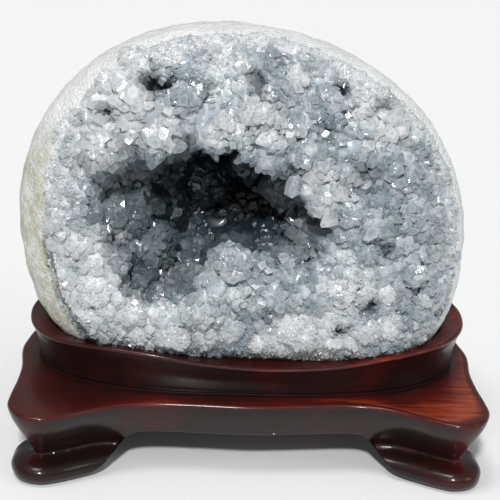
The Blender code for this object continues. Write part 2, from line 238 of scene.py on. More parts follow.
# Pockets (and two broad rises) that the face is known by: place on the stone, reach, and rise
reliefs = (
    (-51, 86, 38, 9, -12.0), (-72, 72, 38, 6, -9.0), (3, 90, 40, 7, -12.0), (6, 80, 44, 4, -7.0),
    (49, 86, 34, 6, -9.0), (74, 77, 28, 8, -7.0), (60, 44, 46, 12, -5.0), (52, -39, 46, 7, -8.0),
    (66, -28, 46, 7, -7.0), (90, -18, 40, 5, -8.0), (104, -33, 24, 6, -8.0), (100, 16, 32, 4, -6.0),
    (72, 4, 44, 6, -7.0), (84, -26, 40, 5, -6.0), (14, -30, 50, 7, -4.0), (-25, 88, 40, 7, -5.0),
    (-90, 22, 36, 5, -4.0), (76, -32, 40, 5, -6.0), (40, 66, 42, 10, -4.0), (-40, 88, 34, 8, -5.0),
)

# Rounded clusters of grown-together crystals: each middle's place on the stone, and radius
faceMasses = {
    "white": (
        (-72, 85, 27, 11.9), (-61, 66, 42, 7.6), (-79, 62, 39, 4.3), (5, 106, 25, 10.8),
        (70, 65, 35, 10.5), (105, 27, 29, 4.3), (30, -41, 46, 10.8), (8, -49, 42, 5.9),
        (-87, 2, 41, 8.6), (-79, -8, 43, 9.7), (-76, -21, 43, 9.7),
    ),
    "pale": (
        (-62, 99, 21, 10.3), (-43, 99, 28, 10.8), (-37, 89, 39, 4.9), (-59, 72, 38, 13.5),
        (-48, 58, 47, 7.6), (-68, 45, 44, 11.4), (-94, 61, 28, 9.2), (-18, 107, 26, 7.6),
        (24, 103, 24, 10.3), (-1, 88, 40, 8.1), (25, 89, 37, 6.5), (-18, 82, 44, 4.3),
        (-9, 71, 46, 9.2), (2, 75, 45, 8.1), (-17, 61, 50, 5.9), (97, 37, 33, 3.8),
        (105, -14, 31, 4.9), (75, -21, 46, 6.5), (90, -38, 37, 4.9), (76, -40, 42, 5.4),
        (53, 2, 52, 6.5), (49, -16, 51, 9.2), (55, -9, 51, 7), (57, -47, 44, 5.9), (-96, 15, 38, 5.9),
        (-69, -10, 48, 4.9), (-66, -25, 47, 5.4), (-60, -34, 46, 8.6), (-76, -36, 41, 7),
        (-55, -43, 44, 7), (-38, -41, 46, 9.2),
    ),
    "cloudy": (
        (-42, 70, 45, 8.1), (-67, 55, 43, 7.6), (-87, 50, 36, 9.2), (-21, 76, 46, 5.4),
        (-4, 60, 50, 6.5), (10, 60, 49, 8.6), (26, 67, 45, 9.2), (60, 66, 40, 5.9), (81, 52, 38, 4.9),
        (60, 86, 28, 5.9), (88, 61, 29, 7.6), (41, 46, 49, 7), (82, 8, 44, 7), (104, -2, 32, 4.3),
        (106, -24, 28, 5.9), (94, -24, 38, 3.8), (24, -23, 54, 5.9), (4, -25, 54, 4.3),
        (-4, -21, 53, 8.1), (-86, 41, 40, 6.5), (-86, 31, 41, 7.6), (-76, 7, 47, 4.9), (43, 36, 50, 9),
        (43, 27, 52, 7), (-20, -44, 45, 9.2), (-24, -29, 51, 8.1), (-39, -34, 50, 6.5),
        (-7, -41, 47, 8.6),
    ),
    "blue": (
        (-84, 69, 32, 6.5), (16, 84, 41, 8.1), (29, 55, 48, 8.6), (32, 80, 40, 6.5), (52, 80, 36, 5.4),
        (51, 43, 47, 9.2), (84, 25, 41, 9.7), (94, 19, 38, 5.9), (103, 7, 33, 4.3), (89, -10, 41, 7),
        (98, -38, 32, 4.3), (15, -18, 54, 7.6), (-87, 20, 43, 4.9), (-79, 16, 45, 5.9),
        (54, 26, 49, 9.7), (67, 18, 47, 9.2), (51, 13, 51, 8.1),
    ),
    "clear": (
        (-31, 79, 42, 9.2), (-25, 100, 33, 5.9), (41, 92, 31, 6.5), (43, 71, 42, 6.5),
        (67, 49, 42, 10.3), (78, 37, 41, 9.2), (62, 2, 49, 7.6),
    ),
}
# Painted shade: the hollow's clusters are grouped by how light they are painted, from light down to black, darker where
# the hollow lies in shade
innerMasses = {  # those in the hollow
    "light": (
        (-66, 21, 30, 10.3), (-24, -17, 36, 9.2), (23, -8, 32, 13.5), (47, 5, 34, 6.5),
    ),
    "half": (
        (-42, 50, 26, 6.5), (-41, -4, 16, 17.3), (-40, -23, 34, 10.3), (35, 9, 20, 13),
        (35, 31, 30, 7.6),
    ),
    "dim": (
        (-32, 41, 20, 13.5), (-55, 9, 20, 8.6), (-10, -6, 14, 13), (17, 22, 4, 15.7),
        (-52, -22, 22, 8.6), (-24, 54, 34, 4.9), (-3, 50, 36, 4.3),
    ),
    "dark": (
        (11, 11, 0, 8.6), (-64, -13, 18, 8.6), (1, -16, 24, 6.5), (2, 49, 18, 6.5),
    ),
    "black": (
        (-19, 19, -12, 11.4), (-3, 33, -14, 9.7), (-45, 19, 4, 8.6), (-28, 9, -6, 7.6),
    ),
}
crustLevels = {"white": 0.93, "pale": 0.79, "cloudy": 0.61, "blue": 0.45, "clear": 0.31}  # how milky
# Painted shade: lightness painted on each group of clusters in the hollow
hollowLevels = {"light": 0.60, "half": 0.48, "dim": 0.35, "dark": 0.21, "black": 0.07}  # how light
masses = {"squash": 0.84, "ripple": 0.42, "rippleSize": 0.9, "fill": (4.5, 11.0), "innerFill": (6.0, 13.0),
          "crowding": 0.60, "sink": 0.56, "faceSink": 0.28, "tries": 9000, "seed": 5, "round": 0.58,
          "innerLargest": 13.0, "innerSink": 0.2}


def facePlace(theta, share):  # from the mouth of the hollow (0) to the crust's outer edge (1)
    outer = around(stone["radii"], theta) * edgeShare(theta)
    mouth = around(crust["mouth"], theta)
    radius = mouth + (outer - mouth) * share
    a = crust["mouthCentre"][0] * (1.0 - share) + radius * math.cos(theta)
    b = crust["mouthCentre"][1] * (1.0 - share) + radius * math.sin(theta)
    return a, b


def hollowPlace(theta, place, wall=0.0):  # place counts along the list of depths, and past its end
    depths = crust["depths"]
    last = len(depths) - 1
    i = min(int(place), last - 1)
    t = place - i
    near, far = (around(crust["spread"][k], theta) for k in (i, i + 1))
    before = around(crust["spread"][max(i - 1, 0)], theta)
    after = around(crust["spread"][min(i + 2, last)], theta)
    depth = depths[i] + (depths[i + 1] - depths[i]) * t
    radius = around(crust["mouth"], theta) * smooth(before, near, far, after, t) + wall
    share = (depths[0] - depth) / (depths[0] - crust["hollowEnd"])
    centre = [m + (d - m) * share for m, d in zip(crust["mouthCentre"], crust["deepCentre"])]
    return centre[0] + radius * math.cos(theta), centre[1] + radius * math.sin(theta), depth


def ringAngles(count):
    return [math.tau * i / count for i in range(count)]


def crustFront():  # rings from the hollow's end out to the crust's edge, in the stone's own frame
    rings = []
    angles = ringAngles(crust["points"])
    last = len(crust["depths"]) - 1
    for r in range(crust["hollowRings"], 0, -1):
        place = last * r / crust["hollowRings"]
        rings.append([hollowPlace(t, place) for t in angles])
    for r in range(crust["faceRings"] + 1):
        share = r / crust["faceRings"]
        ring = []
        for t in angles:
            a, b = facePlace(t, share * 0.99)
            bevel = crust["lipBevel"] * clamp(1.0 - share / 0.16) + crust["frontBevel"] * clamp((1.0 - share) / 0.1)
            ring.append((a, b, frontDepth(a, b) - bevel))
        rings.append(ring)
    return rings


def gridNormals(grid):  # smooth normals of a grid of points closed round its second axis
    down = np.gradient(grid, axis=0)
    round_ = np.roll(grid, -1, axis=1) - np.roll(grid, 1, axis=1)
    normals = np.cross(round_, down)
    return normals / (np.linalg.norm(normals, axis=2, keepdims=True) + 1e-9)


def scatter(cells, seed):  # an even random number for each whole-numbered cell
    return np.mod(np.sin(cells @ np.array((12.99, 78.23, 37.72)) + seed * 4.7) * 4375.85, 1.0)


def cellField(spots, size, seed):  # distance to the nearest of many strewn points, and that point's own number
    scaled = spots / size
    home = np.floor(scaled)
    nearest = np.full(len(spots), 9.0)
    mark = np.zeros(len(spots))
    for step in np.ndindex(3, 3, 3):
        cells = home + (np.array(step) - 1)
        jitter = np.stack([scatter(cells, seed + k) for k in range(3)], axis=1)
        away = np.linalg.norm(cells + jitter - scaled, axis=1)
        closer = away < nearest
        mark = np.where(closer, scatter(cells, seed + 5), mark)
        nearest = np.where(closer, away, nearest)
    return nearest, mark


def dome(nearest, width):
    return np.sqrt(np.clip(1.0 - (nearest / width) ** 2, 0.0, 1.0))


def reliefField(local):
    rise = np.zeros(len(local))
    bend = np.array([noise.noise_vector(Vector(p) / 5.0) for p in local]) * 4.5
    warped = local + bend
    for x, y, z, reach, height in reliefs:
        away = (warped[:, 0] - x) ** 2 + (warped[:, 1] - y) ** 2 + 0.5 * (warped[:, 2] - z) ** 2
        rise += height * np.exp(-1.8 * (away / (reach * reach)) ** 2)
    return rise


def buildCrust():
    grid = np.array(crustFront())
    normals = gridNormals(grid)
    if normals[-10, 0, 2] < 0:
        normals = -normals
    ringCount, count = grid.shape[:2]
    local = grid.reshape(-1, 3)
    frameAxes = np.array([(1.0, 0.0, 0.0), tuple(faceUp), tuple(faceOut)])
    spots = np.array(stoneCentre) + local @ frameAxes
    share = np.repeat((np.arange(ringCount) - crust["hollowRings"]) / crust["faceRings"], count)
    near, mark = cellField(spots, crust["lumpSize"], 3)
    lumps = dome(near, 0.95) * (0.62 + 0.38 * mark) - 0.62
    near, mark = cellField(spots, crust["knollSize"], 17)
    knolls = dome(near, 0.95) * (0.5 + 0.5 * mark) - 0.55
    broad = np.array([noise.noise(Vector(s) / 24.0) for s in spots])
    fine = np.array([noise.noise(Vector(s) / 1.9) for s in spots])
    low = np.clip((spots[:, 2] - crust["lowest"]) / 14.0 + 0.15, 0.0, 1.0)
    room = low * np.clip((1.04 - share) / 0.24, 0.0, 1.0)
    room = np.where(share < 0, 1.25, room)
    lifts = room * (crust["lumps"] * lumps + crust["knolls"] * knolls + 2.2 * broad + reliefField(local))
    moved = (lifts + crust["grain"] * fine * np.maximum(room, 0.4))[:, None]
    points = spots + (normals.reshape(-1, 3) @ frameAxes) * moved
    outwards = gridNormals(points.reshape(grid.shape)).reshape(-1, 3)
    if (outwards * (normals.reshape(-1, 3) @ frameAxes)).sum() < 0:
        outwards = -outwards
    return grid, share, lifts, points, outwards


# Zones of the crust: place on the stone, reach, and how milky (+) or clear and blue (-)
zones = (
    (-80, 80, 32, 0.45), (-46, 68, 22, 0.35), (-70, 44, 20, 0.3), (-90, 20, 30, 0.25), (-15, 86, 24, 0.15),
    (66, 66, 15, 0.45), (35, 38, 13, 0.2), (74, 28, 30, -0.35), (45, 70, 20, -0.22), (95, 40, 14, 0.1),
    (-80, -20, 26, 0.5), (-50, -38, 24, 0.35), (-13, -17, 18, 0.15), (38, -44, 20, 0.55), (63, -6, 20, 0.3),
    (12, -30, 16, -0.15), (90, -24, 18, -0.05), (22, -10, 14, -0.2), (3, 88, 12, -0.25), (-5, 64, 14, 0.12),
    (-10, 100, 22, 0.25), (-28, 88, 20, -0.3), (66, 70, 16, 0.2), (32, -48, 18, 0.25), (55, 98, 26, 0.2), (104, 30, 12, 0.3), (80, -34, 12, 0.2), (-25, 66, 12, -0.1),
)
sugarZones = ((38, -46, 22), (62, -8, 20), (-84, -24, 24), (-40, -56, 26), (0, -54, 26), (80, -38, 16),
              (60, 92, 22), (-30, 104, 26), (-98, 40, 22))


def pull(places, a, b):  # sum of round zones at many points of the face
    total = np.zeros(len(a))
    for x, y, reach, amount in places:
        total += amount * np.exp(-((a - x) ** 2 + (b - y) ** 2) / (reach * reach))
    return total


def strewMasses(share, spots, normals, pocket):  # clusters of the lists, and more of them to fill the rest
    near = KDTree(len(spots))
    for i, p in enumerate(spots):
        near.insert(Vector(p), i)
    near.balance()
    middles, sizes, aims, tones = [], [], [], []
    listed = [(*item, crustLevels[level], True) for level, items in faceMasses.items() for item in items]
    listed += [(*item, hollowLevels[level], False) for level, items in innerMasses.items() for item in items]
    for a, b, c, radius, tone, onFace in listed:
        middle = np.array(onStone(a, b, c))
        index = near.find(Vector(middle))[1]
        if onFace:
            fit = clamp((1.0 - share[index]) / 0.22)
            radius *= 0.6 + 0.4 * fit
            middle = spots[index] - normals[index] * radius * (masses["faceSink"] + 0.35 * (1.0 - fit))
        else:
            radius = min(radius, masses["innerLargest"])
            high = (middle - spots[index]) @ normals[index]
            middle = middle - normals[index] * max(high + masses["innerSink"] * radius, 0.0)
        middles.append(middle)
        sizes.append(radius)
        aims.append(normals[index])
        tones.append(tone)
    random = np.random.default_rng(masses["seed"])
    middles, sizes = np.array(middles), np.array(sizes)
    for index in random.permutation(len(spots))[:masses["tries"]]:
        s = share[index]
        if (spots[index, 2] < 61.0 and s > 0) or pocket[index] < -3.0:
            continue
        low, high = masses["innerFill"] if s < -0.05 else masses["fill"]
        fit = min(clamp((1.0 - s) / 0.2), clamp((spots[index, 2] - 61.0) / 22.0)) if s > 0 else 1.0
        radius = (low + (high - low) * random.random() ** 1.4) * (0.4 + 0.6 * fit)
        middle = spots[index] - normals[index] * radius * (masses["sink"] + 0.25 * (1.0 - fit))
        gaps = np.linalg.norm(middles - middle, axis=1) - masses["crowding"] * (sizes + radius)
        if gaps.min() < 0:
            continue
        middles = np.vstack([middles, middle])
        sizes = np.append(sizes, radius)
        aims.append(normals[index])
        tones.append(-1.0)
    return middles, sizes, np.array(aims), np.array(tones)


def massPoints(middles, sizes, aims):  # every cluster as a rippled ball, flattened along its own way out
    ball = bmesh.new()
    bmesh.ops.create_icosphere(ball, subdivisions=3, radius=1.0)
    unit = np.array([v.co[:] for v in ball.verts])
    corners = np.array([[v.index for v in f.verts] for f in ball.faces])
    ball.free()
    points, outwards, faces = [], [], []
    for k, (middle, size, aim) in enumerate(zip(middles, sizes, aims)):
        out = aim / (np.linalg.norm(aim) + 1e-9)
        ripple = np.array([noise.noise(Vector(u) / masses["rippleSize"] + Vector((k * 3.7, k * 1.3, 0.0))) for u in unit])
        body = unit * (1.0 + masses["ripple"] * ripple)[:, None]
        along_ = body @ out
        body = body - np.outer(along_ * (1.0 - masses["squash"]), out)
        points.append(middle + body * size)
        ways = unit * masses["round"] + out * (1.0 - masses["round"])
        outwards.append(ways / np.linalg.norm(ways, axis=1, keepdims=True))
        faces.append(corners + k * len(unit))
    return np.vstack(points), np.vstack(outwards), np.vstack(faces), len(unit)


def toLocal(points):
    axes = np.array([(1.0, 0.0, 0.0), tuple(faceUp), tuple(faceOut)])
    return (points - np.array(stoneCentre)) @ axes.T


def sharesOf(local):  # rough share of a place on the face, from the mouth to the edge
    theta = np.arctan2(local[:, 1], local[:, 0])
    outer = np.array([around(stone["radii"], t) * edgeShare(t) for t in theta])
    inner = np.array([around(crust["mouth"], math.atan2(p[1] - crust["mouthCentre"][1], p[0] - crust["mouthCentre"][0]))
                      for p in local])
    fromMouth = np.hypot(local[:, 0] - crust["mouthCentre"][0], local[:, 1] - crust["mouthCentre"][1]) - inner
    toEdge = outer - np.hypot(local[:, 0], local[:, 1])
    return np.where(fromMouth < 0, -1.0, fromMouth / np.maximum(fromMouth + toEdge, 0.1))


def crustMarks(local, share, lifts, points, tones, rise):  # colours and growth at every point of the crust
    a, b, c = local.T
    inside = (share < 0) | (c < np.array([frontDepth(x, y) for x, y in zip(a, b)]) - 16.0)
    broad = np.array([noise.noise(Vector(p) / 15.0 + Vector((9, 4, 2))) for p in points])
    milky = 0.44 + pull(zones, a, b) + 0.30 * broad
    milky = np.where(tones >= 0, tones + 0.16 * broad, milky)
    milky = milky + 0.32 * np.exp(-((1.0 - np.minimum(share, 1.0)) / 0.09) ** 2) * (b > -20)
    milky = np.where(inside, 0.34 + 0.3 * broad, milky)
    # Painted shade: the dark mark grows deeper into the hollow and is darkest about its core; clusters listed in the
    # hollow take it from their given lightness
    depth = np.clip((40.0 - c) / 42.0, 0.0, 1.0)
    core = np.exp(-(((a + 3.0) / 33.0) ** 2 + ((b - 24.0) / 30.0) ** 2))
    dark = np.where(inside, 0.10 + 0.24 * depth + 0.62 * np.clip(core * 1.5 - 0.15, 0.0, 1.0) * depth ** 0.6, 0.0)
    dark = np.where(inside & (tones >= 0), 0.88 - 0.96 * np.maximum(tones, 0.0) ** 0.85, dark)
    pocket = np.clip(-reliefField(local) / 9.0, 0.0, 1.0) * ~inside
    # Painted shade in crevices between lumps, in pockets and at the low foot of each cluster; plus a dark line along
    # the crust's lower-left edge
    dark = dark + np.clip(-lifts / 7.0, 0.0, 1.0) * 0.35 + pocket * 0.42 + np.clip(0.3 - rise, 0.0, 0.3) * 0.35
    border = np.exp(-((share - 0.985) / (0.022 + 0.05 * np.clip((-28.0 - b) / 26.0, 0.0, 1.0))) ** 2)
    border *= np.clip((-40.0 - a) / 12.0, 0.0, 1.0) * np.clip((16.0 - b) / 18.0, 0.0, 1.0)
    dark = dark + 0.62 * border * ~inside
    sugar = np.clip(pull([(x, y, r, 1.0) for x, y, r in sugarZones], a, b), 0.0, 1.0) * ~inside
    edge = np.where(inside, 1.0, np.clip((1.02 - share) / 0.16, 0.0, 1.0))
    low = np.clip((points[:, 2] - crust["lowest"]) / 3.0, 0.0, 1.0)
    coarse = np.array([noise.noise(Vector(p) / 20.0 + Vector((1, 7, 5))) for p in points])
    coarse = np.clip(0.8 + 1.0 * coarse, 0.2, 1.0)
    return {
        "milky": np.clip(milky, 0, 1), "dark": np.clip(dark, 0, 1),
        "large": edge * (1.0 - 0.97 * sugar) * coarse * np.clip((points[:, 2] - crust["lowest"]) / 16.0, 0, 1),
        "middle": (0.15 + 0.85 * edge) * (1.0 - 0.75 * sugar) * low,
        "fine": np.where(inside, 0.06, np.clip(0.14 + sugar + 0.8 * (1.0 - edge), 0, 1)) * low,
    }


crystalLayers = (
    {"name": "crystals_large", "spacing": 4.6, "size": (8.4, 14.0), "tilt": 0.27, "seed": 11, "vigour": "large"},
    {"name": "crystals_middle", "spacing": 3.1, "size": (5.0, 8.4), "tilt": 0.34, "seed": 23, "vigour": "middle"},
    {"name": "crystals_fine", "spacing": 1.58, "size": (1.7, 3.3), "tilt": 0.6, "seed": 37, "vigour": "fine"},
)


# Node helpers

def addNode(tree, kind, inputs=None, **settings):
    node = tree.nodes.new(kind)
    for key, value in settings.items():
        setattr(node, key, value)
    for key, value in (inputs or {}).items():
        if isinstance(value, bpy.types.NodeSocket):
            tree.links.new(value, node.inputs[key])
        else:
            node.inputs[key].default_value = value
    return node


def crystalTree():
    tree = bpy.data.node_groups.new("growCrystals", "GeometryNodeTree")
    face = tree.interface
    face.new_socket("Geometry", in_out="INPUT", socket_type="NodeSocketGeometry")
    face.new_socket("Spacing", in_out="INPUT", socket_type="NodeSocketFloat")
    face.new_socket("Smallest", in_out="INPUT", socket_type="NodeSocketFloat")
    face.new_socket("Largest", in_out="INPUT", socket_type="NodeSocketFloat")
    face.new_socket("Tilt", in_out="INPUT", socket_type="NodeSocketFloat")
    face.new_socket("Seed", in_out="INPUT", socket_type="NodeSocketInt")
    face.new_socket("Shapes", in_out="INPUT", socket_type="NodeSocketCollection")
    face.new_socket("Finish", in_out="INPUT", socket_type="NodeSocketMaterial")
    face.new_socket("Geometry", in_out="OUTPUT", socket_type="NodeSocketGeometry")
    given = addNode(tree, "NodeGroupInput").outputs
    vigour = addNode(tree, "GeometryNodeInputNamedAttribute", {"Name": "vigour"}, data_type="FLOAT").outputs["Attribute"]
    spread = addNode(tree, "GeometryNodeDistributePointsOnFaces", {
        "Mesh": given["Geometry"], "Distance Min": given["Spacing"], "Density Max": 1500000.0,
        "Density Factor": vigour, "Seed": given["Seed"]}, distribute_method="POISSON")

    def randomVector(low, high, seed):
        node = addNode(tree, "FunctionNodeRandomValue", {0: low, 1: high, 8: seed}, data_type="FLOAT_VECTOR")
        return node.outputs[0]

    def randomNumber(low, high, seed):
        node = addNode(tree, "FunctionNodeRandomValue", {2: low, 3: high, 8: seed}, data_type="FLOAT")
        return node.outputs[1]

    lean = addNode(tree, "ShaderNodeVectorMath", {0: randomVector((-1, -1, -1), (1, 1, 1), 1), "Scale": given["Tilt"]},
                   operation="SCALE")
    leaning = addNode(tree, "ShaderNodeVectorMath", {0: spread.outputs["Normal"], 1: lean.outputs[0]}, operation="ADD")
    upright = addNode(tree, "FunctionNodeAlignRotationToVector", {"Vector": leaning.outputs[0]}, axis="Z")
    turn = addNode(tree, "FunctionNodeAxisAngleToRotation", {"Axis": (0, 0, 1), "Angle": randomNumber(0.0, math.tau, 2)})
    turned = addNode(tree, "FunctionNodeRotateRotation", {0: upright.outputs[0], 1: turn.outputs[0]},
                     rotation_space="LOCAL")
    chance = addNode(tree, "ShaderNodeMath", {0: randomNumber(0.0, 1.0, 3), 1: 1.7}, operation="POWER")
    size = addNode(tree, "ShaderNodeMapRange", {"Value": chance.outputs[0], "To Min": given["Smallest"],
                                                "To Max": given["Largest"]})
    growth = addNode(tree, "ShaderNodeMapRange", {"Value": vigour, "To Min": 0.55, "To Max": 1.0})
    sized = addNode(tree, "ShaderNodeMath", {0: size.outputs[0], 1: growth.outputs[0]}, operation="MULTIPLY")
    shape = addNode(tree, "ShaderNodeVectorMath", {0: randomVector((0.8, 0.7, 0.75), (1.15, 1.0, 1.25), 4),
                                                   "Scale": sized.outputs[0]}, operation="SCALE")
    shapes = addNode(tree, "GeometryNodeCollectionInfo", {"Collection": given["Shapes"], "Separate Children": True,
                                                          "Reset Children": True})
    pick = addNode(tree, "FunctionNodeRandomValue", {4: 0, 5: 30, 8: 5}, data_type="INT")
    grown = addNode(tree, "GeometryNodeInstanceOnPoints", {
        "Points": spread.outputs["Points"], "Instance": shapes.outputs[0], "Pick Instance": True,
        "Instance Index": pick.outputs[2], "Rotation": turned.outputs[0], "Scale": shape.outputs[0]})
    marked = addNode(tree, "GeometryNodeStoreNamedAttribute", {
        "Geometry": grown.outputs[0], "Name": "tone", "Value": randomNumber(0.0, 1.0, 6)},
        data_type="FLOAT", domain="INSTANCE")
    real = addNode(tree, "GeometryNodeRealizeInstances", {"Geometry": marked.outputs[0]})
    done = addNode(tree, "GeometryNodeSetMaterial", {"Geometry": real.outputs[0], "Material": given["Finish"]})
    addNode(tree, "NodeGroupOutput", {"Geometry": done.outputs[0]})
    return tree


# The edge mark paints a highlight on the corners of each crystal
def crystalShapes():  # stout blocks with sloping heads, one unit across; edge is 1 at the corners, 0 amid faces
    group = bpy.data.collections.new("crystalShapes")
    kinds = (
        {"sides": 6, "waist": 0.02, "crown": 0.30, "top": 0.36, "squash": 0.86, "slant": 0.10},
        {"sides": 4, "waist": 0.10, "crown": 0.37, "top": 0.38, "squash": 0.80, "slant": 0.06},
        {"sides": 7, "waist": 0.00, "crown": 0.34, "top": 0.30, "squash": 0.92, "slant": 0.05},
        {"sides": 5, "waist": 0.06, "crown": 0.26, "top": 0.42, "squash": 0.95, "slant": 0.14},
        {"sides": 6, "waist": 0.14, "crown": 0.38, "top": 0.40, "squash": 0.72, "slant": 0.04},
        {"sides": 5, "waist": -0.04, "crown": 0.22, "top": 0.40, "squash": 0.85, "slant": 0.08},
    )
    for k, kind in enumerate(kinds):
        n = kind["sides"]
        points = [(0.0, 0.0, -0.62)]
        for ring in ("waist", "head"):
            for i in range(n):
                angle = math.tau * (i + 0.5) / n + 0.2 * math.sin(3.1 * i + 1.7 * k)
                reach = 0.52 if ring == "waist" else kind["crown"] * (1.0 + 0.16 * math.sin(2.3 * i + k))
                height = kind["waist"] if ring == "waist" else kind["top"] + kind["slant"] * math.cos(angle + k)
                points.append((reach * math.cos(angle), reach * math.sin(angle) * kind["squash"], height))
        edges = [1.0] * len(points)
        faces = []
        for i in range(n):
            j = (i + 1) % n
            corners = (1 + i, 1 + j, 1 + n + j, 1 + n + i)
            middle = np.mean([points[c] for c in corners], axis=0)
            points.append(tuple(middle * np.array((1.03, 1.03, 1.0))))
            edges.append(0.15)
            last = len(points) - 1
            faces.append((0, 1 + j, 1 + i))
            faces += [(corners[c], corners[(c + 1) % 4], last) for c in range(4)]
        head = np.mean(points[1 + n:1 + 2 * n], axis=0)
        points.append(tuple(head + np.array((0.0, 0.0, 0.012))))
        edges.append(0.0)
        faces += [(1 + n + i, 1 + n + (i + 1) % n, len(points) - 1) for i in range(n)]
        mesh = bpy.data.meshes.new("crystalShape%d" % k)
        mesh.from_pydata(points, [], faces)
        mark = mesh.attributes.new("edge", "FLOAT", "POINT")
        mark.data.foreach_set("value", edges)
        group.objects.link(bpy.data.objects.new("crystalShape%d" % k, mesh))
    return group


def growLayer(host, layer, tree, shapes, finish):
    modifier = host.modifiers.new("grow", "NODES")
    modifier.node_group = tree
    values = {"Spacing": layer["spacing"] * mm, "Smallest": layer["size"][0] * mm, "Largest": layer["size"][1] * mm,
              "Tilt": layer["tilt"], "Seed": layer["seed"], "Shapes": shapes, "Finish": finish}
    for item in tree.interface.items_tree:
        if item.in_out == "INPUT" and item.name in values:
            modifier[item.identifier] = values[item.name]
    bpy.context.view_layer.update()
    seen = host.evaluated_get(bpy.context.evaluated_depsgraph_get())
    mesh = bpy.data.meshes.new_from_object(seen)
    host.modifiers.remove(modifier)
    mesh.name = layer["name"]
    piece = bpy.data.objects.new(layer["name"], mesh)
    scene.collection.objects.link(piece)
    return piece


# Shared shader groups

def shaderGroup(name, inputs, outputs):
    tree = bpy.data.node_groups.new(name, "ShaderNodeTree")
    for title, kind, value in inputs:
        socket = tree.interface.new_socket(title, in_out="INPUT", socket_type=kind)
        if value is not None:
            socket.default_value = value
    for title, kind in outputs:
        tree.interface.new_socket(title, in_out="OUTPUT", socket_type=kind)
    return tree


def mineralGrain():  # fine speckle and roughness of a granular surface
    tree = shaderGroup("mineralGrain", (("Scale", "NodeSocketFloat", 900.0), ("Contrast", "NodeSocketFloat", 1.0)),
                       (("Speckle", "NodeSocketFloat"), ("Height", "NodeSocketFloat")))
    given = addNode(tree, "NodeGroupInput").outputs
    place = addNode(tree, "ShaderNodeTexCoord").outputs["Object"]
    fine = addNode(tree, "ShaderNodeTexNoise", {"Vector": place, "Scale": given["Scale"], "Detail": 4.0, "Roughness": 0.65})
    cells = addNode(tree, "ShaderNodeTexVoronoi", {"Vector": place, "Scale": given["Scale"]})
    speckle = addNode(tree, "ShaderNodeMapRange", {"Value": fine.outputs["Fac"], "From Min": 0.38, "From Max": 0.66})
    strong = addNode(tree, "ShaderNodeMath", {0: speckle.outputs[0], 1: given["Contrast"]}, operation="MULTIPLY")
    height = addNode(tree, "ShaderNodeMath", {0: fine.outputs["Fac"], 1: cells.outputs["Distance"]}, operation="SUBTRACT")
    addNode(tree, "NodeGroupOutput", {"Speckle": strong.outputs[0], "Height": height.outputs[0]})
    return tree


def placeGroup(tree, group, inputs):
    node = tree.nodes.new("ShaderNodeGroup")
    node.node_tree = group
    for key, value in inputs.items():
        if isinstance(value, bpy.types.NodeSocket):
            tree.links.new(value, node.inputs[key])
        else:
            node.inputs[key].default_value = value
    return node


def newMaterial(name):
    material = bpy.data.materials.new(name)
    material.use_nodes = True
    tree = material.node_tree
    return material, tree, tree.nodes["Principled BSDF"]


def mixColours(tree, factor, first, second, blend="MIX"):
    node = addNode(tree, "ShaderNodeMix", {0: factor, 6: first, 7: second}, data_type="RGBA", blend_type=blend)
    return node.outputs[2]


def attribute(tree, name):
    return addNode(tree, "ShaderNodeAttribute", attribute_name=name).outputs["Fac"]


celestite = {
    "milky": (0.655, 0.668, 0.675, 1.0),
    "cloudy": (0.305, 0.362, 0.396, 1.0),
    "clear": (0.112, 0.166, 0.205, 1.0),
    # Painted shade: shade and deep (near black) are the colours the dark mark paints into recesses and the hollow
    "shade": (0.028, 0.048, 0.062, 1.0),
    "deep": (0.005, 0.007, 0.010, 1.0),
    "facet": 0.5,
    "absorb": (0.72, 0.82, 0.88, 1.0),
    "absorbDensity": 22.0,
    "ior": 1.62,
    "transmission": 0.25,
}


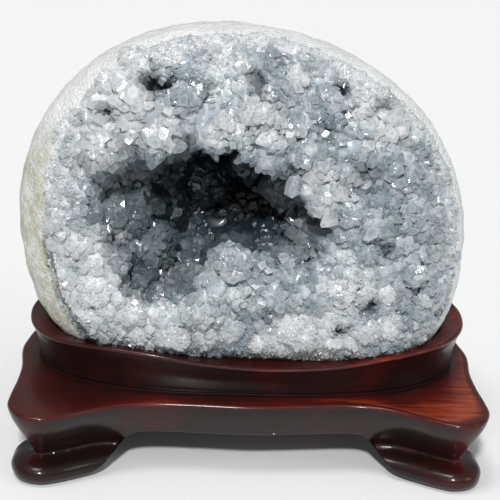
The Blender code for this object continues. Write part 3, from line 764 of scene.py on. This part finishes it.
def celestiteMaterial(name, grain, see, rough):
    material, tree, shader = newMaterial(name)
    place = addNode(tree, "ShaderNodeTexCoord").outputs["Object"]
    marks = placeGroup(tree, grain, {"Scale": 800.0, "Contrast": 1.0})
    tone = attribute(tree, "tone")
    cloud = addNode(tree, "ShaderNodeTexNoise", {"Vector": place, "Scale": 140.0, "Detail": 4.0, "Roughness": 0.6})
    share = attribute(tree, "milky")
    # Painted highlight: the edge mark makes crystal corners lighter and face middles darker
    for value, amount in ((tone, 0.16), (cloud.outputs["Fac"], 0.70), (attribute(tree, "edge"), 0.20)):
        swing = addNode(tree, "ShaderNodeMapRange", {"Value": value, "To Min": -amount, "To Max": amount})
        share = addNode(tree, "ShaderNodeMath", {0: share, 1: swing.outputs[0]}, operation="ADD").outputs[0]
    ramp = addNode(tree, "ShaderNodeValToRGB", {"Fac": share})
    ramp.color_ramp.elements[0].color = celestite["clear"]
    ramp.color_ramp.elements[1].color = celestite["milky"]
    ramp.color_ramp.elements.new(0.45).color = celestite["cloudy"]
    faint = addNode(tree, "ShaderNodeMath", {0: marks.outputs["Speckle"], 1: 0.16}, operation="MULTIPLY")
    speckled = mixColours(tree, faint.outputs[0], ramp.outputs["Color"], (0.86, 0.88, 0.89, 1.0))
    # Painted shade: the dark mark darkens the colour towards shade, then towards near black
    dark = attribute(tree, "dark")
    dim = addNode(tree, "ShaderNodeMapRange", {"Value": dark, "From Max": 0.65})
    gone = addNode(tree, "ShaderNodeMapRange", {"Value": dark, "From Min": 0.55})
    shaded = mixColours(tree, dim.outputs[0], speckled, celestite["shade"])
    shaded = mixColours(tree, gone.outputs[0], shaded, celestite["deep"])
    tree.links.new(shaded, shader.inputs["Base Color"])
    dull = addNode(tree, "ShaderNodeMapRange", {"Value": tone, "To Min": rough[0], "To Max": rough[1]})
    tree.links.new(dull.outputs[0], shader.inputs["Roughness"])
    facet = addNode(tree, "ShaderNodeNewGeometry").outputs["Normal"]
    body = addNode(tree, "ShaderNodeAttribute", attribute_name="bodyWay").outputs["Vector"]
    way = addNode(tree, "ShaderNodeMix", {0: celestite["facet"], 4: body, 5: facet}, data_type="VECTOR")
    even = addNode(tree, "ShaderNodeVectorMath", {0: way.outputs[1]}, operation="NORMALIZE")
    bump = addNode(tree, "ShaderNodeBump", {"Strength": 0.3, "Distance": 0.0003, "Height": marks.outputs["Height"],
                                            "Normal": even.outputs[0]})
    tree.links.new(bump.outputs[0], shader.inputs["Normal"])
    shader.inputs["Coat Weight"].default_value = 0.4
    shader.inputs["Coat Roughness"].default_value = 0.16
    shader.inputs["Coat IOR"].default_value = 1.55
    shader.inputs["IOR"].default_value = celestite["ior"]
    shader.inputs["Transmission Weight"].default_value = see
    if see > 0:
        absorb = addNode(tree, "ShaderNodeVolumeAbsorption", {"Color": celestite["absorb"],
                                                              "Density": celestite["absorbDensity"]})
        tree.links.new(absorb.outputs[0], tree.nodes["Material Output"].inputs["Volume"])
    return material


rockFinish = {
    "pale": (0.79, 0.80, 0.79, 1.0),
    "grey": (0.36, 0.37, 0.375, 1.0),
    "stain": (0.44, 0.43, 0.32, 1.0),
    "crack": (0.035, 0.037, 0.04, 1.0),
}


def rockMaterial(grain):
    material, tree, shader = newMaterial("matrixRock")
    place = addNode(tree, "ShaderNodeTexCoord").outputs["Object"]
    marks = placeGroup(tree, grain, {"Scale": 620.0, "Contrast": 1.0})
    broad = addNode(tree, "ShaderNodeTexNoise", {"Vector": place, "Scale": 60.0, "Detail": 6.0, "Roughness": 0.65})
    patch = addNode(tree, "ShaderNodeMapRange", {"Value": broad.outputs["Fac"], "From Min": 0.36, "From Max": 0.62,
                                                 "To Min": 0.08, "To Max": 0.6})
    both = addNode(tree, "ShaderNodeMath", {0: patch.outputs[0], 1: marks.outputs["Speckle"]}, operation="MULTIPLY")
    body = mixColours(tree, both.outputs[0], rockFinish["pale"], rockFinish["grey"])
    stains = addNode(tree, "ShaderNodeTexNoise", {"Vector": place, "Scale": 90.0, "Detail": 7.0, "Roughness": 0.72})
    spread = addNode(tree, "ShaderNodeMapRange", {"Value": stains.outputs["Fac"], "From Min": 0.36, "From Max": 0.60})
    stained = addNode(tree, "ShaderNodeMath", {0: spread.outputs[0], 1: attribute(tree, "stain")}, operation="MULTIPLY")
    body = mixColours(tree, stained.outputs[0], body, rockFinish["stain"])
    body = mixColours(tree, attribute(tree, "crack"), body, rockFinish["crack"])
    tree.links.new(body, shader.inputs["Base Color"])
    shader.inputs["Roughness"].default_value = 0.75
    bump = addNode(tree, "ShaderNodeBump", {"Strength": 0.9, "Distance": 0.0008, "Height": marks.outputs["Height"]})
    tree.links.new(bump.outputs[0], shader.inputs["Normal"])
    return material


wood = {
    "dark": (0.0075, 0.0028, 0.0026, 1.0),
    "red": (0.070, 0.0050, 0.0035, 1.0),
    "bright": (0.30, 0.045, 0.012, 1.0),
    "dust": (0.75, 0.72, 0.70, 1.0),
}


def woodMaterial():
    material, tree, shader = newMaterial("lacqueredHardwood")
    place = addNode(tree, "ShaderNodeTexCoord").outputs["Object"]
    grainPlace = addNode(tree, "ShaderNodeMapping", {"Vector": place, "Scale": (14.0, 190.0, 230.0)})
    streaks = addNode(tree, "ShaderNodeTexNoise", {"Vector": grainPlace.outputs[0], "Scale": 2.4, "Detail": 8.0,
                                                   "Roughness": 0.66, "Distortion": 0.4})
    porePlace = addNode(tree, "ShaderNodeMapping", {"Vector": place, "Scale": (90.0, 1500.0, 1500.0)})
    pores = addNode(tree, "ShaderNodeTexNoise", {"Vector": porePlace.outputs[0], "Scale": 1.6, "Detail": 3.0})
    broad = addNode(tree, "ShaderNodeTexNoise", {"Vector": place, "Scale": 14.0, "Detail": 3.0})
    level = addNode(tree, "ShaderNodeMapRange", {"Value": streaks.outputs["Fac"], "From Min": 0.34, "From Max": 0.66,
                                                 "To Min": 0.55, "To Max": 1.25})
    blotch = addNode(tree, "ShaderNodeMapRange", {"Value": broad.outputs["Fac"], "From Min": 0.38, "From Max": 0.62,
                                                  "To Min": 0.6, "To Max": 1.15})
    worn = addNode(tree, "ShaderNodeTexNoise", {"Vector": place, "Scale": 26.0, "Detail": 4.0, "Roughness": 0.6})
    patch = addNode(tree, "ShaderNodeMapRange", {"Value": worn.outputs["Fac"], "From Min": 0.52, "From Max": 0.66,
                                                 "To Max": 0.17})
    # Painted light and wear: the per-point mark paints highlights along the arris and the rim's lip, a lighter slab top
    # and right side, and lighter convex corners that are partly worn finish; random worn patches are added to it
    paintedLightAndWornPatch = addNode(tree, "ShaderNodeMath", {0: attribute(tree, "paintedLightAndWear"), 1: patch.outputs[0]}, operation="ADD")
    paintedLightAndWear = addNode(tree, "ShaderNodeMath", {0: paintedLightAndWornPatch.outputs[0], 1: blotch.outputs[0]}, operation="MULTIPLY")
    lit = addNode(tree, "ShaderNodeMath", {0: paintedLightAndWear.outputs[0], 1: level.outputs[0]}, operation="MULTIPLY")
    low = addNode(tree, "ShaderNodeMapRange", {"Value": lit.outputs[0], "From Min": 0.0, "From Max": 0.6})
    high = addNode(tree, "ShaderNodeMapRange", {"Value": lit.outputs[0], "From Min": 0.55, "From Max": 1.3})
    body = mixColours(tree, low.outputs[0], wood["dark"], wood["red"])
    body = mixColours(tree, high.outputs[0], body, wood["bright"])
    poreLine = addNode(tree, "ShaderNodeMapRange", {"Value": pores.outputs["Fac"], "From Min": 0.58, "From Max": 0.72,
                                                    "To Max": 0.55})
    body = mixColours(tree, poreLine.outputs[0], body, wood["dark"])
    specks = addNode(tree, "ShaderNodeTexVoronoi", {"Vector": place, "Scale": 70.0})
    tiny = addNode(tree, "ShaderNodeMath", {0: specks.outputs["Distance"], 1: 0.032}, operation="LESS_THAN")
    chosen = addNode(tree, "ShaderNodeSeparateColor", {0: specks.outputs["Color"]})
    few = addNode(tree, "ShaderNodeMath", {0: chosen.outputs[0], 1: 0.45}, operation="GREATER_THAN")
    dust = addNode(tree, "ShaderNodeMath", {0: tiny.outputs[0], 1: few.outputs[0]}, operation="MULTIPLY")
    body = mixColours(tree, dust.outputs[0], body, wood["dust"])
    tree.links.new(body, shader.inputs["Base Color"])
    rough = addNode(tree, "ShaderNodeMapRange", {"Value": level.outputs[0], "To Min": 0.34, "To Max": 0.46})
    tree.links.new(rough.outputs[0], shader.inputs["Roughness"])
    shader.inputs["Specular IOR Level"].default_value = 0.12
    shader.inputs["Coat Weight"].default_value = 0.5
    shader.inputs["Coat Roughness"].default_value = 0.17
    bump = addNode(tree, "ShaderNodeBump", {"Strength": 0.06, "Distance": 0.0002, "Height": pores.outputs["Fac"]})
    tree.links.new(bump.outputs[0], shader.inputs["Normal"])
    return material


# Stand

stand = {
    "points": 560,
    "slabTop": 42.6,
    "slabHalf": (
        (0.0, 61.0), (30.0, 59.0), (50.0, 57.5), (64.0, 60.0), (77.0, 67.5), (89.0, 77.5),
        (100.0, 82.5), (110.0, 79.5), (115.0, 69.5), (114.6, 57.0), (113.5, 44.0), (115.0, 30.0),
        (119.5, 15.0), (122.6, 0.0), (122.0, -20.0), (123.6, -38.0), (126.2, -54.0), (127.0, -67.0),
        (121.5, -78.5), (110.0, -82.5), (98.0, -78.5), (82.0, -69.5), (68.0, -64.0), (52.0, -62.0),
        (30.0, -63.8), (0.0, -66.0),
    ),
    "slabSide": (  # height, and how far the side stands in from the slab's edge
        (0.0, 8.0), (0.5, 6.0), (1.9, 3.8), (4.2, 2.3), (6.8, 2.2), (9.4, 3.8), (11.4, 7.2), (12.6, 10.8),
        (13.4, 13.0), (14.6, 13.4), (17.6, 12.4), (22.0, 9.6), (28.0, 5.8), (33.0, 2.9), (37.0, 1.0), (40.6, 0.0),
    ),
    "arris": ((40.6, 0.0), (41.5, 0.15), (42.2, 0.7), (42.55, 1.6), (42.6, 2.6)),
    "archTop": 21.8,
    "backArchShare": 0.905,
    "frontArch": ((59.2, 21.8), (63.2, 20.3), (67.8, 16.4), (73.0, 10.8), (79.0, 5.6), (87.0, 1.8), (97.0, 0.0)),
    "sideArch": ((35.9, 21.8), (40.4, 20.2), (45.0, 16.6), (49.5, 10.6), (54.0, 5.2), (59.0, 1.6), (65.0, 0.0)),
    "archRound": 1.0,
    "apronUndercut": 0.72,
    "leftSwell": 2.8,
    "sideRows": 52,
    "underRings": 26,
    "collarHalf": (113.2, 51.6),
    "collarSquareness": (3.1, 2.2),
    "collarSide": (  # share of the rim's height, and how far the side stands out
        (0.0, -0.7), (0.02, -0.8), (0.05, -0.3), (0.1, -0.1), (0.2, 0.0), (0.5, 0.9), (0.8, 3.0), (0.92, 4.3),
        (0.97, 4.6), (1.0, 4.3), (1.018, 3.6), (1.02, 2.8), (1.0, 1.2), (0.97, -1.5), (0.95, -5.0),
    ),
    "rimX": (-118.0, -79.0, -53.0, -27.0, 5.0, 27.0, 48.0, 70.0, 92.0, 106.0, 118.0),
    "rimHeight": (21.0, 24.2, 23.8, 20.0, 17.4, 17.8, 19.2, 22.0, 23.4, 23.8, 23.6),
    "seatGap": 0.35,
    "seatFloor": 52.0,
}


def slabOutline():  # the slab's edge at even steps, its inward normals, and how far it bulges there
    knots = [np.array(p) for p in stand["slabHalf"]]
    knots += [np.array((-x, y)) for x, y in reversed(stand["slabHalf"][1:-1])]
    n = len(knots)
    fine = []
    for i in range(n):
        fine += [smooth(knots[i - 1], knots[i], knots[(i + 1) % n], knots[(i + 2) % n], s / 24) for s in range(24)]
    fine = np.array(fine)
    front = fine[:, 1] < 0
    fine[:, 1] -= stand["leftSwell"] * np.exp(-((fine[:, 0] + 74.0) / 34.0) ** 2) * front
    low, high = (np.array(corner)[:2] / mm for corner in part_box("stand"))
    fine *= (high - low) / (fine.max(axis=0) - fine.min(axis=0)) * 0.9996
    fine += (high + low) / 2 - (fine.max(axis=0) + fine.min(axis=0)) / 2
    lengths = np.linalg.norm(np.roll(fine, -1, axis=0) - fine, axis=1)
    travel = np.concatenate([[0.0], np.cumsum(lengths)])
    even = np.arange(stand["points"]) * travel[-1] / stand["points"]
    closed = np.vstack([fine, fine[:1]])
    edge = np.stack([np.interp(even, travel, closed[:, k]) for k in (0, 1)], axis=1)
    tangent = np.roll(edge, -2, axis=0) - np.roll(edge, 2, axis=0)
    inward = np.stack([tangent[:, 1], -tangent[:, 0]], axis=1)
    inward = sum(np.roll(inward, k, axis=0) for k in range(-3, 4))
    inward /= np.linalg.norm(inward, axis=1, keepdims=True)
    if (inward * edge).sum() > 0:
        inward = -inward
    turn = np.roll(inward, -6, axis=0) - np.roll(inward, 6, axis=0)
    bulge = -(turn * tangent / np.linalg.norm(tangent, axis=1, keepdims=True)).sum(axis=1)
    return edge, inward, bulge


def radiusAt(points, angles):  # polar radius of a closed polyline at given angles
    polar = np.arctan2(points[:, 1], points[:, 0]) % math.tau
    order = np.argsort(polar)
    return np.interp(angles, polar[order], np.hypot(points[:, 0], points[:, 1])[order], period=math.tau)


def archCurves():
    return [np.array(along(stand[key], 6)) for key in ("frontArch", "sideArch")]


def underside(x, y, curves):
    deep = stand["slabHalf"][6][1]
    share = (1.0 + stand["backArchShare"]) / 2 + (stand["backArchShare"] - 1.0) * y / (2 * deep)
    front = np.interp(abs(x) / share, curves[0][:, 0], curves[0][:, 1])
    return max(front, np.interp(abs(y), curves[1][:, 0], curves[1][:, 1]))


def undercut(lows):  # the side stands in fully at the feet, and little along the apron between them
    t = np.clip((20.0 - lows) / 15.0, 0.0, 1.0)
    return stand["apronUndercut"] + (1.0 - stand["apronUndercut"]) * t * t * (3 - 2 * t)


def rimHeight(x):
    knots = stand["rimX"]
    i = min(max(int(np.searchsorted(knots, x)) - 1, 0), len(knots) - 2)
    heights = stand["rimHeight"]
    t = clamp((x - knots[i]) / (knots[i + 1] - knots[i]))
    return smooth(heights[max(i - 1, 0)], heights[i], heights[i + 1], heights[min(i + 2, len(heights) - 1)], t)


def insideStone(x, y, z, grow):  # under 1 inside the whole nodule
    a, b, c = toStone((x, y, z))
    theta = math.atan2(b, a)
    depth = stone["halfDepth"] + grow
    share = math.hypot(a, b) / (stoneRadius(theta, clamp(c / depth * 0.5 + 0.5) * 2 - 1) + grow)
    square = stone["squareness"]
    return share ** square + abs(c / depth) ** square


def seatRadius(angle, z):
    near, far = 0.0, 135.0
    for _ in range(22):
        middle = (near + far) / 2
        inside = insideStone(middle * math.cos(angle), middle * math.sin(angle), z, stand["seatGap"]) < 1.0
        near, far = (middle, far) if inside else (near, middle)
    return near


def collarPlace(angles, out):  # points of the collar's outline at polar angles, at a distance out
    fine = np.linspace(0, math.tau, 1440, endpoint=False)
    powers = [2.0 / s for s in stand["collarSquareness"]]
    x = (stand["collarHalf"][0] + out) * np.sign(np.cos(fine)) * np.abs(np.cos(fine)) ** powers[0]
    y = (stand["collarHalf"][1] + out) * np.sign(np.sin(fine)) * np.abs(np.sin(fine)) ** powers[1]
    return radiusAt(np.stack([x, y], axis=1), angles)


def buildStand():
    count = stand["points"]
    edge, inward, bulge = slabOutline()
    polar = np.unwrap(np.arctan2(edge[:, 1], edge[:, 0]))
    even = polar[0] + (polar[-1] - polar[0]) * np.arange(count) / (count - 1)
    angles = 0.75 * polar + 0.25 * even
    cosines, sines = np.cos(angles), np.sin(angles)
    corner = np.clip(bulge / bulge.max(), 0.0, 1.0)
    for _ in range(12):
        corner = (np.roll(corner, 1) + corner + np.roll(corner, -1)) / 3
    corner /= corner.max()
    # Each ring carries a mark of painted light (sheen, highlights, lighter and darker faces) and corner wear for the
    # wood's finish
    rings, paintedLightMarks = [], []

    def slabAt(insets):
        return edge + inward * np.broadcast_to(insets, (count,))[:, None]

    def addRing(places, heights, paintedLightAndWear):
        heights = np.broadcast_to(heights, (count,))
        rings.append(np.column_stack([places, heights]))
        paintedLightMarks.append(np.broadcast_to(paintedLightAndWear, (count,)))

    profile = np.array(along(stand["slabSide"], 6))
    curves = archCurves()
    inset = np.full(count, profile[0, 1])
    for _ in range(6):
        foot = slabAt(inset)
        lows = np.array([underside(x, y, curves) for x, y in foot])
        roundness = stand["archRound"] * np.clip(lows / 2.0, 0.0, 1.0)
        inset = np.interp(lows, profile[:, 0], profile[:, 1]) * undercut(lows) + roundness
    foot = slabAt(inset)
    for r in range(1, stand["underRings"]):
        share = r / stand["underRings"]
        addRing(foot * share, [underside(x, y, curves) for x, y in foot * share], 0.1)
    top = stand["slabSide"][-1][0]
    for r in range(stand["sideRows"] + 1):
        heights = lows + (top - lows) * (r / stand["sideRows"]) ** 1.2
        inset = np.interp(heights, profile[:, 0], profile[:, 1]) * undercut(lows)
        rise = np.clip(heights - lows, 0.0, roundness)
        inset = inset + roundness - np.sqrt(np.maximum(roundness ** 2 - (roundness - rise) ** 2, 0.0))
        # Painted sheen on the convex corners, stronger higher up the side, partly a worn finish there
        paintedCornerSheenAndWear = corner ** 3 * (0.42 if r > 0.35 * stand["sideRows"] else 0.22)
        addRing(slabAt(inset), heights, 0.02 + paintedCornerSheenAndWear)
    # Painted highlight along the slab's top arris
    for z, inset in along(stand["arris"], 2)[1:]:
        addRing(slabAt(inset), z, 0.42)
    collarKnots = along(stand["collarSide"], 5)

    def collarRing(out):
        radius = collarPlace(angles, out)
        return np.column_stack([radius * cosines, radius * sines])

    base = collarRing(collarKnots[0][1])
    rim = slabAt(stand["arris"][-1][1])
    # Painted light: the slab top and the rim are painted lighter towards the right
    right = 0.75 + 0.5 * np.clip(edge[:, 0] / 127.0, -0.4, 1.0)
    room = np.clip(np.linalg.norm(rim - base, axis=1) / 26.0, 0.25, 1.0)
    # Painted light and reflection on the slab top, strongest at its outer edge and fading towards the collar
    for share in (0.12, 0.25, 0.4, 0.55, 0.7, 0.85):
        addRing(rim + (base - rim) * share, stand["slabTop"], (1.0 - share) ** 0.8 * right * (0.55 + 0.45 * room))
    for share, out in collarKnots:
        places = collarRing(out)
        # Painted light: the collar's side a little lighter towards its top, and a painted highlight along the rim's lip
        paintedLightAndWear = 0.03 + 0.05 * share if share < 0.94 else 0.6 * right
        addRing(places, [stand["slabTop"] + share * rimHeight(x) for x in places[:, 0]], paintedLightAndWear)
    inner = collarPlace(angles, collarKnots[-1][1])
    heights = rings[-1][:, 2]
    middle = stand["slabTop"] + min(stand["rimHeight"])
    meetRadius, meetHeight = np.zeros(count), np.zeros(count)
    for i in range(count):  # where the dished rim runs into the stone's seat
        radius = inner[i]
        for step in range(160):
            z = middle + (heights[i] - middle) * radius / inner[i]
            if insideStone(radius * cosines[i], radius * sines[i], z, stand["seatGap"]) < 1.0:
                break
            radius -= 0.35
        meetRadius[i], meetHeight[i] = radius, z
    # Painted light on the dished rim top, fading towards the stone it meets
    for share in (0.33, 0.66, 1.0):
        radius = inner + (meetRadius - inner) * share
        addRing(np.column_stack([radius * cosines, radius * sines]),
                heights + (meetHeight - heights) * share, (0.6 - 0.45 * share) * right)
    for share in (0.15, 0.35, 0.6, 1.0):
        z = meetHeight + (stand["seatFloor"] - meetHeight) * share
        radius = np.minimum([seatRadius(angles[i], z[i]) for i in range(count)], meetRadius)
        addRing(np.column_stack([radius * cosines, radius * sines]), z, 0.02)
    points = [p for ring in rings for p in ring]
    points += [(0.0, 0.0, stand["archTop"]), (0.0, 0.0, stand["seatFloor"])]
    piece = makeMesh("stand_fine", points, loftFaces(len(rings), count, len(points) - 2, len(points) - 1))
    markMesh(piece, {"paintedLightAndWear": list(np.concatenate(paintedLightMarks)) + [0.05, 0.05]})
    turnOutwards(piece)
    piece.data.shade_smooth()
    piece.data.set_sharp_from_angle(angle=math.radians(40))
    return piece


def buildRock():
    angles = ringAngles(stone["points"])
    rings = []
    stain = []
    crack = []
    for r in range(1, stone["skinRings"] + 1):
        share = r / stone["skinRings"]
        ring = []
        for t in angles:
            psi = -math.pi / 2 + (math.pi / 2 + rimPsi(t)) * share
            spot = skinPoint(t, psi)
            out = (spot - stoneCentre).normalized()
            grain = stone["grain"] * (0.7 * noise.noise(spot / 3.2) + 1.2 * noise.noise(spot / 9.0) - 1.3)
            along_, up, _ = toStone(spot)
            line = 0.0
            if along_ < -36 and up < 16:
                width = 0.010 + 0.030 * ease((-30 - up) / 30)
                line = ease(1.25 - abs(share - 0.972 - 0.008 * noise.noise(spot / 7.0)) / width)
                line *= ease((14 - up) / 16) * clamp(0.75 + 1.6 * noise.noise(spot / 2.6))
            ring.append(spot + out * (grain - 0.8 * line))
            crack.append(clamp(line))
            stain.append(ease((-along_ - 70) / 30) * ease((80 - abs(up + 2)) / 44))
        rings.append(ring)
    for share in (0.99, 0.7, 0.35, 0.02):
        ring = []
        for t in angles:
            a, b = facePlace(t, share)
            ring.append(onStone(a, b, frontDepth(a, b) - (2.0 if share > 0.9 else crust["thickness"])))
        rings.append(ring)
    for place in (0.6, 1, 2, 3, 4):
        ring = []
        for t in angles:
            a, b, depth = hollowPlace(t, place, crust["thickness"])
            ring.append(onStone(a, b, depth - 2.0))
        rings.append(ring)
    points = [p for ring in rings for p in ring]
    extra = len(points) - len(stain)
    stain += [0.0] * (extra + 2)
    crack += [0.0] * (extra + 2)
    points += [onStone(0, 0, -stone["halfDepth"]), onStone(*crust["deepCentre"], crust["hollowEnd"] - crust["thickness"])]
    piece = makeMesh("geode_rock_fine", points, loftFaces(len(rings), len(angles), len(points) - 2, len(points) - 1))
    for name, values in (("stain", stain), ("crack", crack)):
        mark = piece.data.attributes.new(name, "FLOAT", "POINT")
        mark.data.foreach_set("value", values)
    turnOutwards(piece)
    piece.data.shade_smooth()
    return piece


def dressCrust(finish, finishes):
    grid, share, lifts, points, outwards = buildCrust()
    ringCount, count = grid.shape[:2]
    local = grid.reshape(-1, 3)
    angles = ringAngles(count)
    end = np.array(onStone(*crust["deepCentre"], crust["hollowEnd"] + 1.0))
    middles, sizes, aims, tones = strewMasses(share, points, outwards, reliefField(local))
    ballPoints, ballOut, ballFaces, each = massPoints(middles, sizes, aims)
    print("clusters:", len(middles))

    backRings = []
    for place in (0.985, 0.66, 0.33, 0.0):
        ring = []
        for t in angles:
            a, b = facePlace(t, place * 0.99)
            ring.append(onStone(a, b, frontDepth(a, b) - (2.0 if place > 0.9 else crust["thickness"] - 0.5)))
        backRings.append(ring)
    for place in (0.6, 1, 2, 3, 4):
        backRings.append([onStone(*hollowPlace(t, place, crust["thickness"] - 0.5)) for t in angles])
    allPoints = list(points) + [p for ring in backRings for p in ring]
    total = ringCount + len(backRings)
    allPoints += [end, onStone(*crust["deepCentre"], crust["hollowEnd"] - crust["thickness"] + 0.5)]
    base = makeMesh("crystal_crust_base", allPoints, loftFaces(total, count, len(allPoints) - 2, len(allPoints) - 1))
    turnOutwards(base)
    tree = BVHTree.FromPolygons([Vector(p) for p in points], loftFaces(ringCount, count))

    ballLocal = toLocal(ballPoints)
    ballShare = sharesOf(ballLocal)
    hidden = np.zeros(len(ballPoints), bool)
    for k in range(len(middles)):
        inside = np.linalg.norm(ballPoints - middles[k], axis=1) < 0.84 * sizes[k]
        inside[k * each:(k + 1) * each] = False
        hidden |= inside
    height = np.zeros(len(ballPoints))
    for i, p in enumerate(ballPoints):
        spot, _, face, _ = tree.find_nearest(Vector(p))
        height[i] = (p - np.array(spot)) @ outwards[(face // count) * count + face % count]
    hidden |= height < -1.0
    rise = np.clip(height / np.repeat(sizes, each), 0.0, 1.0)
    hiddenBase = np.zeros(len(points), bool)
    for middle, size in zip(middles, sizes):
        hiddenBase |= np.linalg.norm(points - middle, axis=1) < 0.8 * size

    ballTones = np.repeat(tones, each)
    baseMarks = crustMarks(local, share, lifts, points, np.full(len(points), -1.0), np.full(len(points), 0.25))
    ballMarks = crustMarks(ballLocal, ballShare, np.zeros(len(ballPoints)), ballPoints, ballTones, rise)
    own = np.repeat(np.random.default_rng(9).uniform(-0.16, 0.16, len(middles)), each)
    ballMarks["milky"] = np.clip(ballMarks["milky"] + np.where(ballTones < 0, own, 0.0), 0, 1)

    extra = len(base.data.vertices)
    near = KDTree(len(points))
    for i, p in enumerate(points):
        near.insert(Vector(p), i)
    near.balance()
    picks = [near.find(v.co / mm)[1] for v in base.data.vertices]
    markMesh(base, {"milky": baseMarks["milky"][picks], "dark": baseMarks["dark"][picks],
                    "tone": [0.5] * extra, "edge": [0.5] * extra})
    markWay(base, outwards[picks])
    balls = makeMesh("crystal_clusters", ballPoints, ballFaces.tolist())
    markMesh(balls, {"milky": ballMarks["milky"], "dark": ballMarks["dark"],
                     "tone": [0.5] * len(ballPoints), "edge": [0.5] * len(ballPoints)})
    markWay(balls, ballOut)
    pieces = []
    for piece in (base, balls):
        piece.data.shade_smooth()
        piece.data.materials.append(finish)
        trimToBox(piece)
        pieces.append(piece)

    hostPoints = np.vstack([points, ballPoints])
    hostFaces = loftFaces(ringCount, count)
    hostFaces += (ballFaces + len(points)).tolist()
    host = makeMesh("crustFront", hostPoints, hostFaces)
    marks = {key: np.concatenate([baseMarks[key], ballMarks[key]]) for key in baseMarks}
    markMesh(host, {"milky": marks["milky"], "dark": marks["dark"]})
    markWay(host, np.vstack([outwards, ballOut]))
    sample = host.data.polygons[(crust["hollowRings"] + 30) * count]
    if sample.normal.dot(faceOut) < 0:
        shape = bmesh.new()
        shape.from_mesh(host.data)
        shape.faces.ensure_lookup_table()
        bmesh.ops.reverse_faces(shape, faces=shape.faces[:(ringCount - 1) * count])
        shape.to_mesh(host.data)
        shape.free()
    shown = ~np.concatenate([hiddenBase, hidden])
    grow = crystalTree()
    shapes = crystalShapes()
    for layer in crystalLayers:
        old = host.data.attributes.get("vigour")
        if old:
            host.data.attributes.remove(old)
        markMesh(host, {"vigour": marks[layer["vigour"]] * shown})
        piece = growLayer(host, layer, grow, shapes, finishes[layer["vigour"]])
        trimToBox(piece)
        pieces.append(piece)
        print("crystals:", layer["name"], len(piece.data.polygons), "faces")
    bpy.data.objects.remove(host)
    for shape in list(shapes.objects):
        bpy.data.objects.remove(shape)
    bpy.data.collections.remove(shapes)
    return pieces


def markWay(piece, ways):  # the way the whole cluster faces, which softens the light from facet to facet
    mark = piece.data.attributes.new("bodyWay", "FLOAT_VECTOR", "POINT")
    mark.data.foreach_set("vector", np.asarray(ways, dtype=float).ravel())


def trimToBox(piece):  # the tips at the very top and sides end at the object's own size
    low, high = (np.array(corner) for corner in cadBox)
    spots = np.zeros(len(piece.data.vertices) * 3)
    piece.data.vertices.foreach_get("co", spots)
    spots = np.clip(spots.reshape(-1, 3), low + 0.0001, high - 0.0001)
    piece.data.vertices.foreach_set("co", spots.ravel())
    piece.data.update()


# Camera, floor and light

view = {"target": (-0.2, 0.0, 103.9), "distance": 1300.0, "elevation": 24.0, "azimuth": -2.91, "roll": 2.51,
        "lens": 173.5, "sensor": 36.0}
stage = {"floorSize": 8.0, "floor": (0.80, 0.80, 0.80, 1.0), "sky": (0.97, 0.985, 1.0, 1.0), "skyStrength": 0.33}
suns = (  # elevation and turn of where each light comes from, its width in the sky, and its strength
    {"name": "side", "elevation": 34.0, "azimuth": 64.0, "width": 24.0, "power": 0.36},
    {"name": "front", "elevation": 44.0, "azimuth": -6.0, "width": 5.0, "power": 2.4},
    {"name": "over", "elevation": 76.0, "azimuth": -50.0, "width": 16.0, "power": 0.85},
)


def setCamera():
    turn, tilt, roll = (math.radians(view[k]) for k in ("azimuth", "elevation", "roll"))
    back = Vector((math.sin(turn) * math.cos(tilt), -math.cos(turn) * math.cos(tilt), math.sin(tilt)))
    right = Vector((math.cos(turn), math.sin(turn), 0.0))
    up = back.cross(right)
    across = right * math.cos(roll) + up * math.sin(roll)
    above = up * math.cos(roll) - right * math.sin(roll)
    place = (Vector(view["target"]) + back * view["distance"]) * mm
    lens = bpy.data.cameras.new("camera")
    lens.lens = view["lens"]
    lens.sensor_width = view["sensor"]
    lens.clip_start = 0.05
    camera = bpy.data.objects.new("camera", lens)
    scene.collection.objects.link(camera)
    camera.matrix_world = Matrix((across, above, back)).transposed().to_4x4()
    camera.location = place
    scene.camera = camera


def setStage():
    bpy.ops.mesh.primitive_plane_add(size=stage["floorSize"], location=(0.0, 0.0, 0.0))
    floor = bpy.context.object
    floor.name = "floor"
    material, tree, shader = newMaterial("paleFloor")
    shader.inputs["Base Color"].default_value = stage["floor"]
    shader.inputs["Roughness"].default_value = 0.7
    floor.data.materials.append(material)
    world = bpy.data.worlds.new("studio")
    world.use_nodes = True
    scene.world = world
    sky = world.node_tree.nodes["Background"]
    sky.inputs["Color"].default_value = stage["sky"]
    sky.inputs["Strength"].default_value = stage["skyStrength"]
    for sun in suns:
        light = bpy.data.lights.new(sun["name"], "SUN")
        light.angle = math.radians(sun["width"])
        light.energy = sun["power"]
        holder = bpy.data.objects.new(sun["name"], light)
        scene.collection.objects.link(holder)
        turn, tilt = math.radians(sun["azimuth"]), math.radians(sun["elevation"])
        source = Vector((math.sin(turn) * math.cos(tilt), -math.cos(turn) * math.cos(tilt), math.sin(tilt)))
        holder.location = source * 2.0
        holder.rotation_euler = (-source).to_track_quat("-Z", "Y").to_euler()
    scene.view_settings.view_transform = "Standard"


# Making it all

setCamera()
setStage()
print("stage set")

grain = mineralGrain()
standPiece = buildStand()
standPiece.data.materials.append(woodMaterial())
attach(standPiece, "root")
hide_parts("stand")
print("stand:", len(standPiece.data.polygons), "faces")

rockPiece = buildRock()
rockPiece.data.materials.append(rockMaterial(grain))
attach(rockPiece, "root")
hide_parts("geode_rock")
print("rock:", len(rockPiece.data.polygons), "faces")

druse = celestiteMaterial("druse", grain, 0.0, (0.45, 0.6))
blocks = celestiteMaterial("celestite", grain, celestite["transmission"], (0.10, 0.45))
crumbs = celestiteMaterial("celestiteFine", grain, 0.15, (0.15, 0.5))
for piece in dressCrust(druse, {"large": blocks, "middle": blocks, "fine": crumbs}):
    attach(piece, "root")
    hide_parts("crystal_crust")
print("crust dressed")
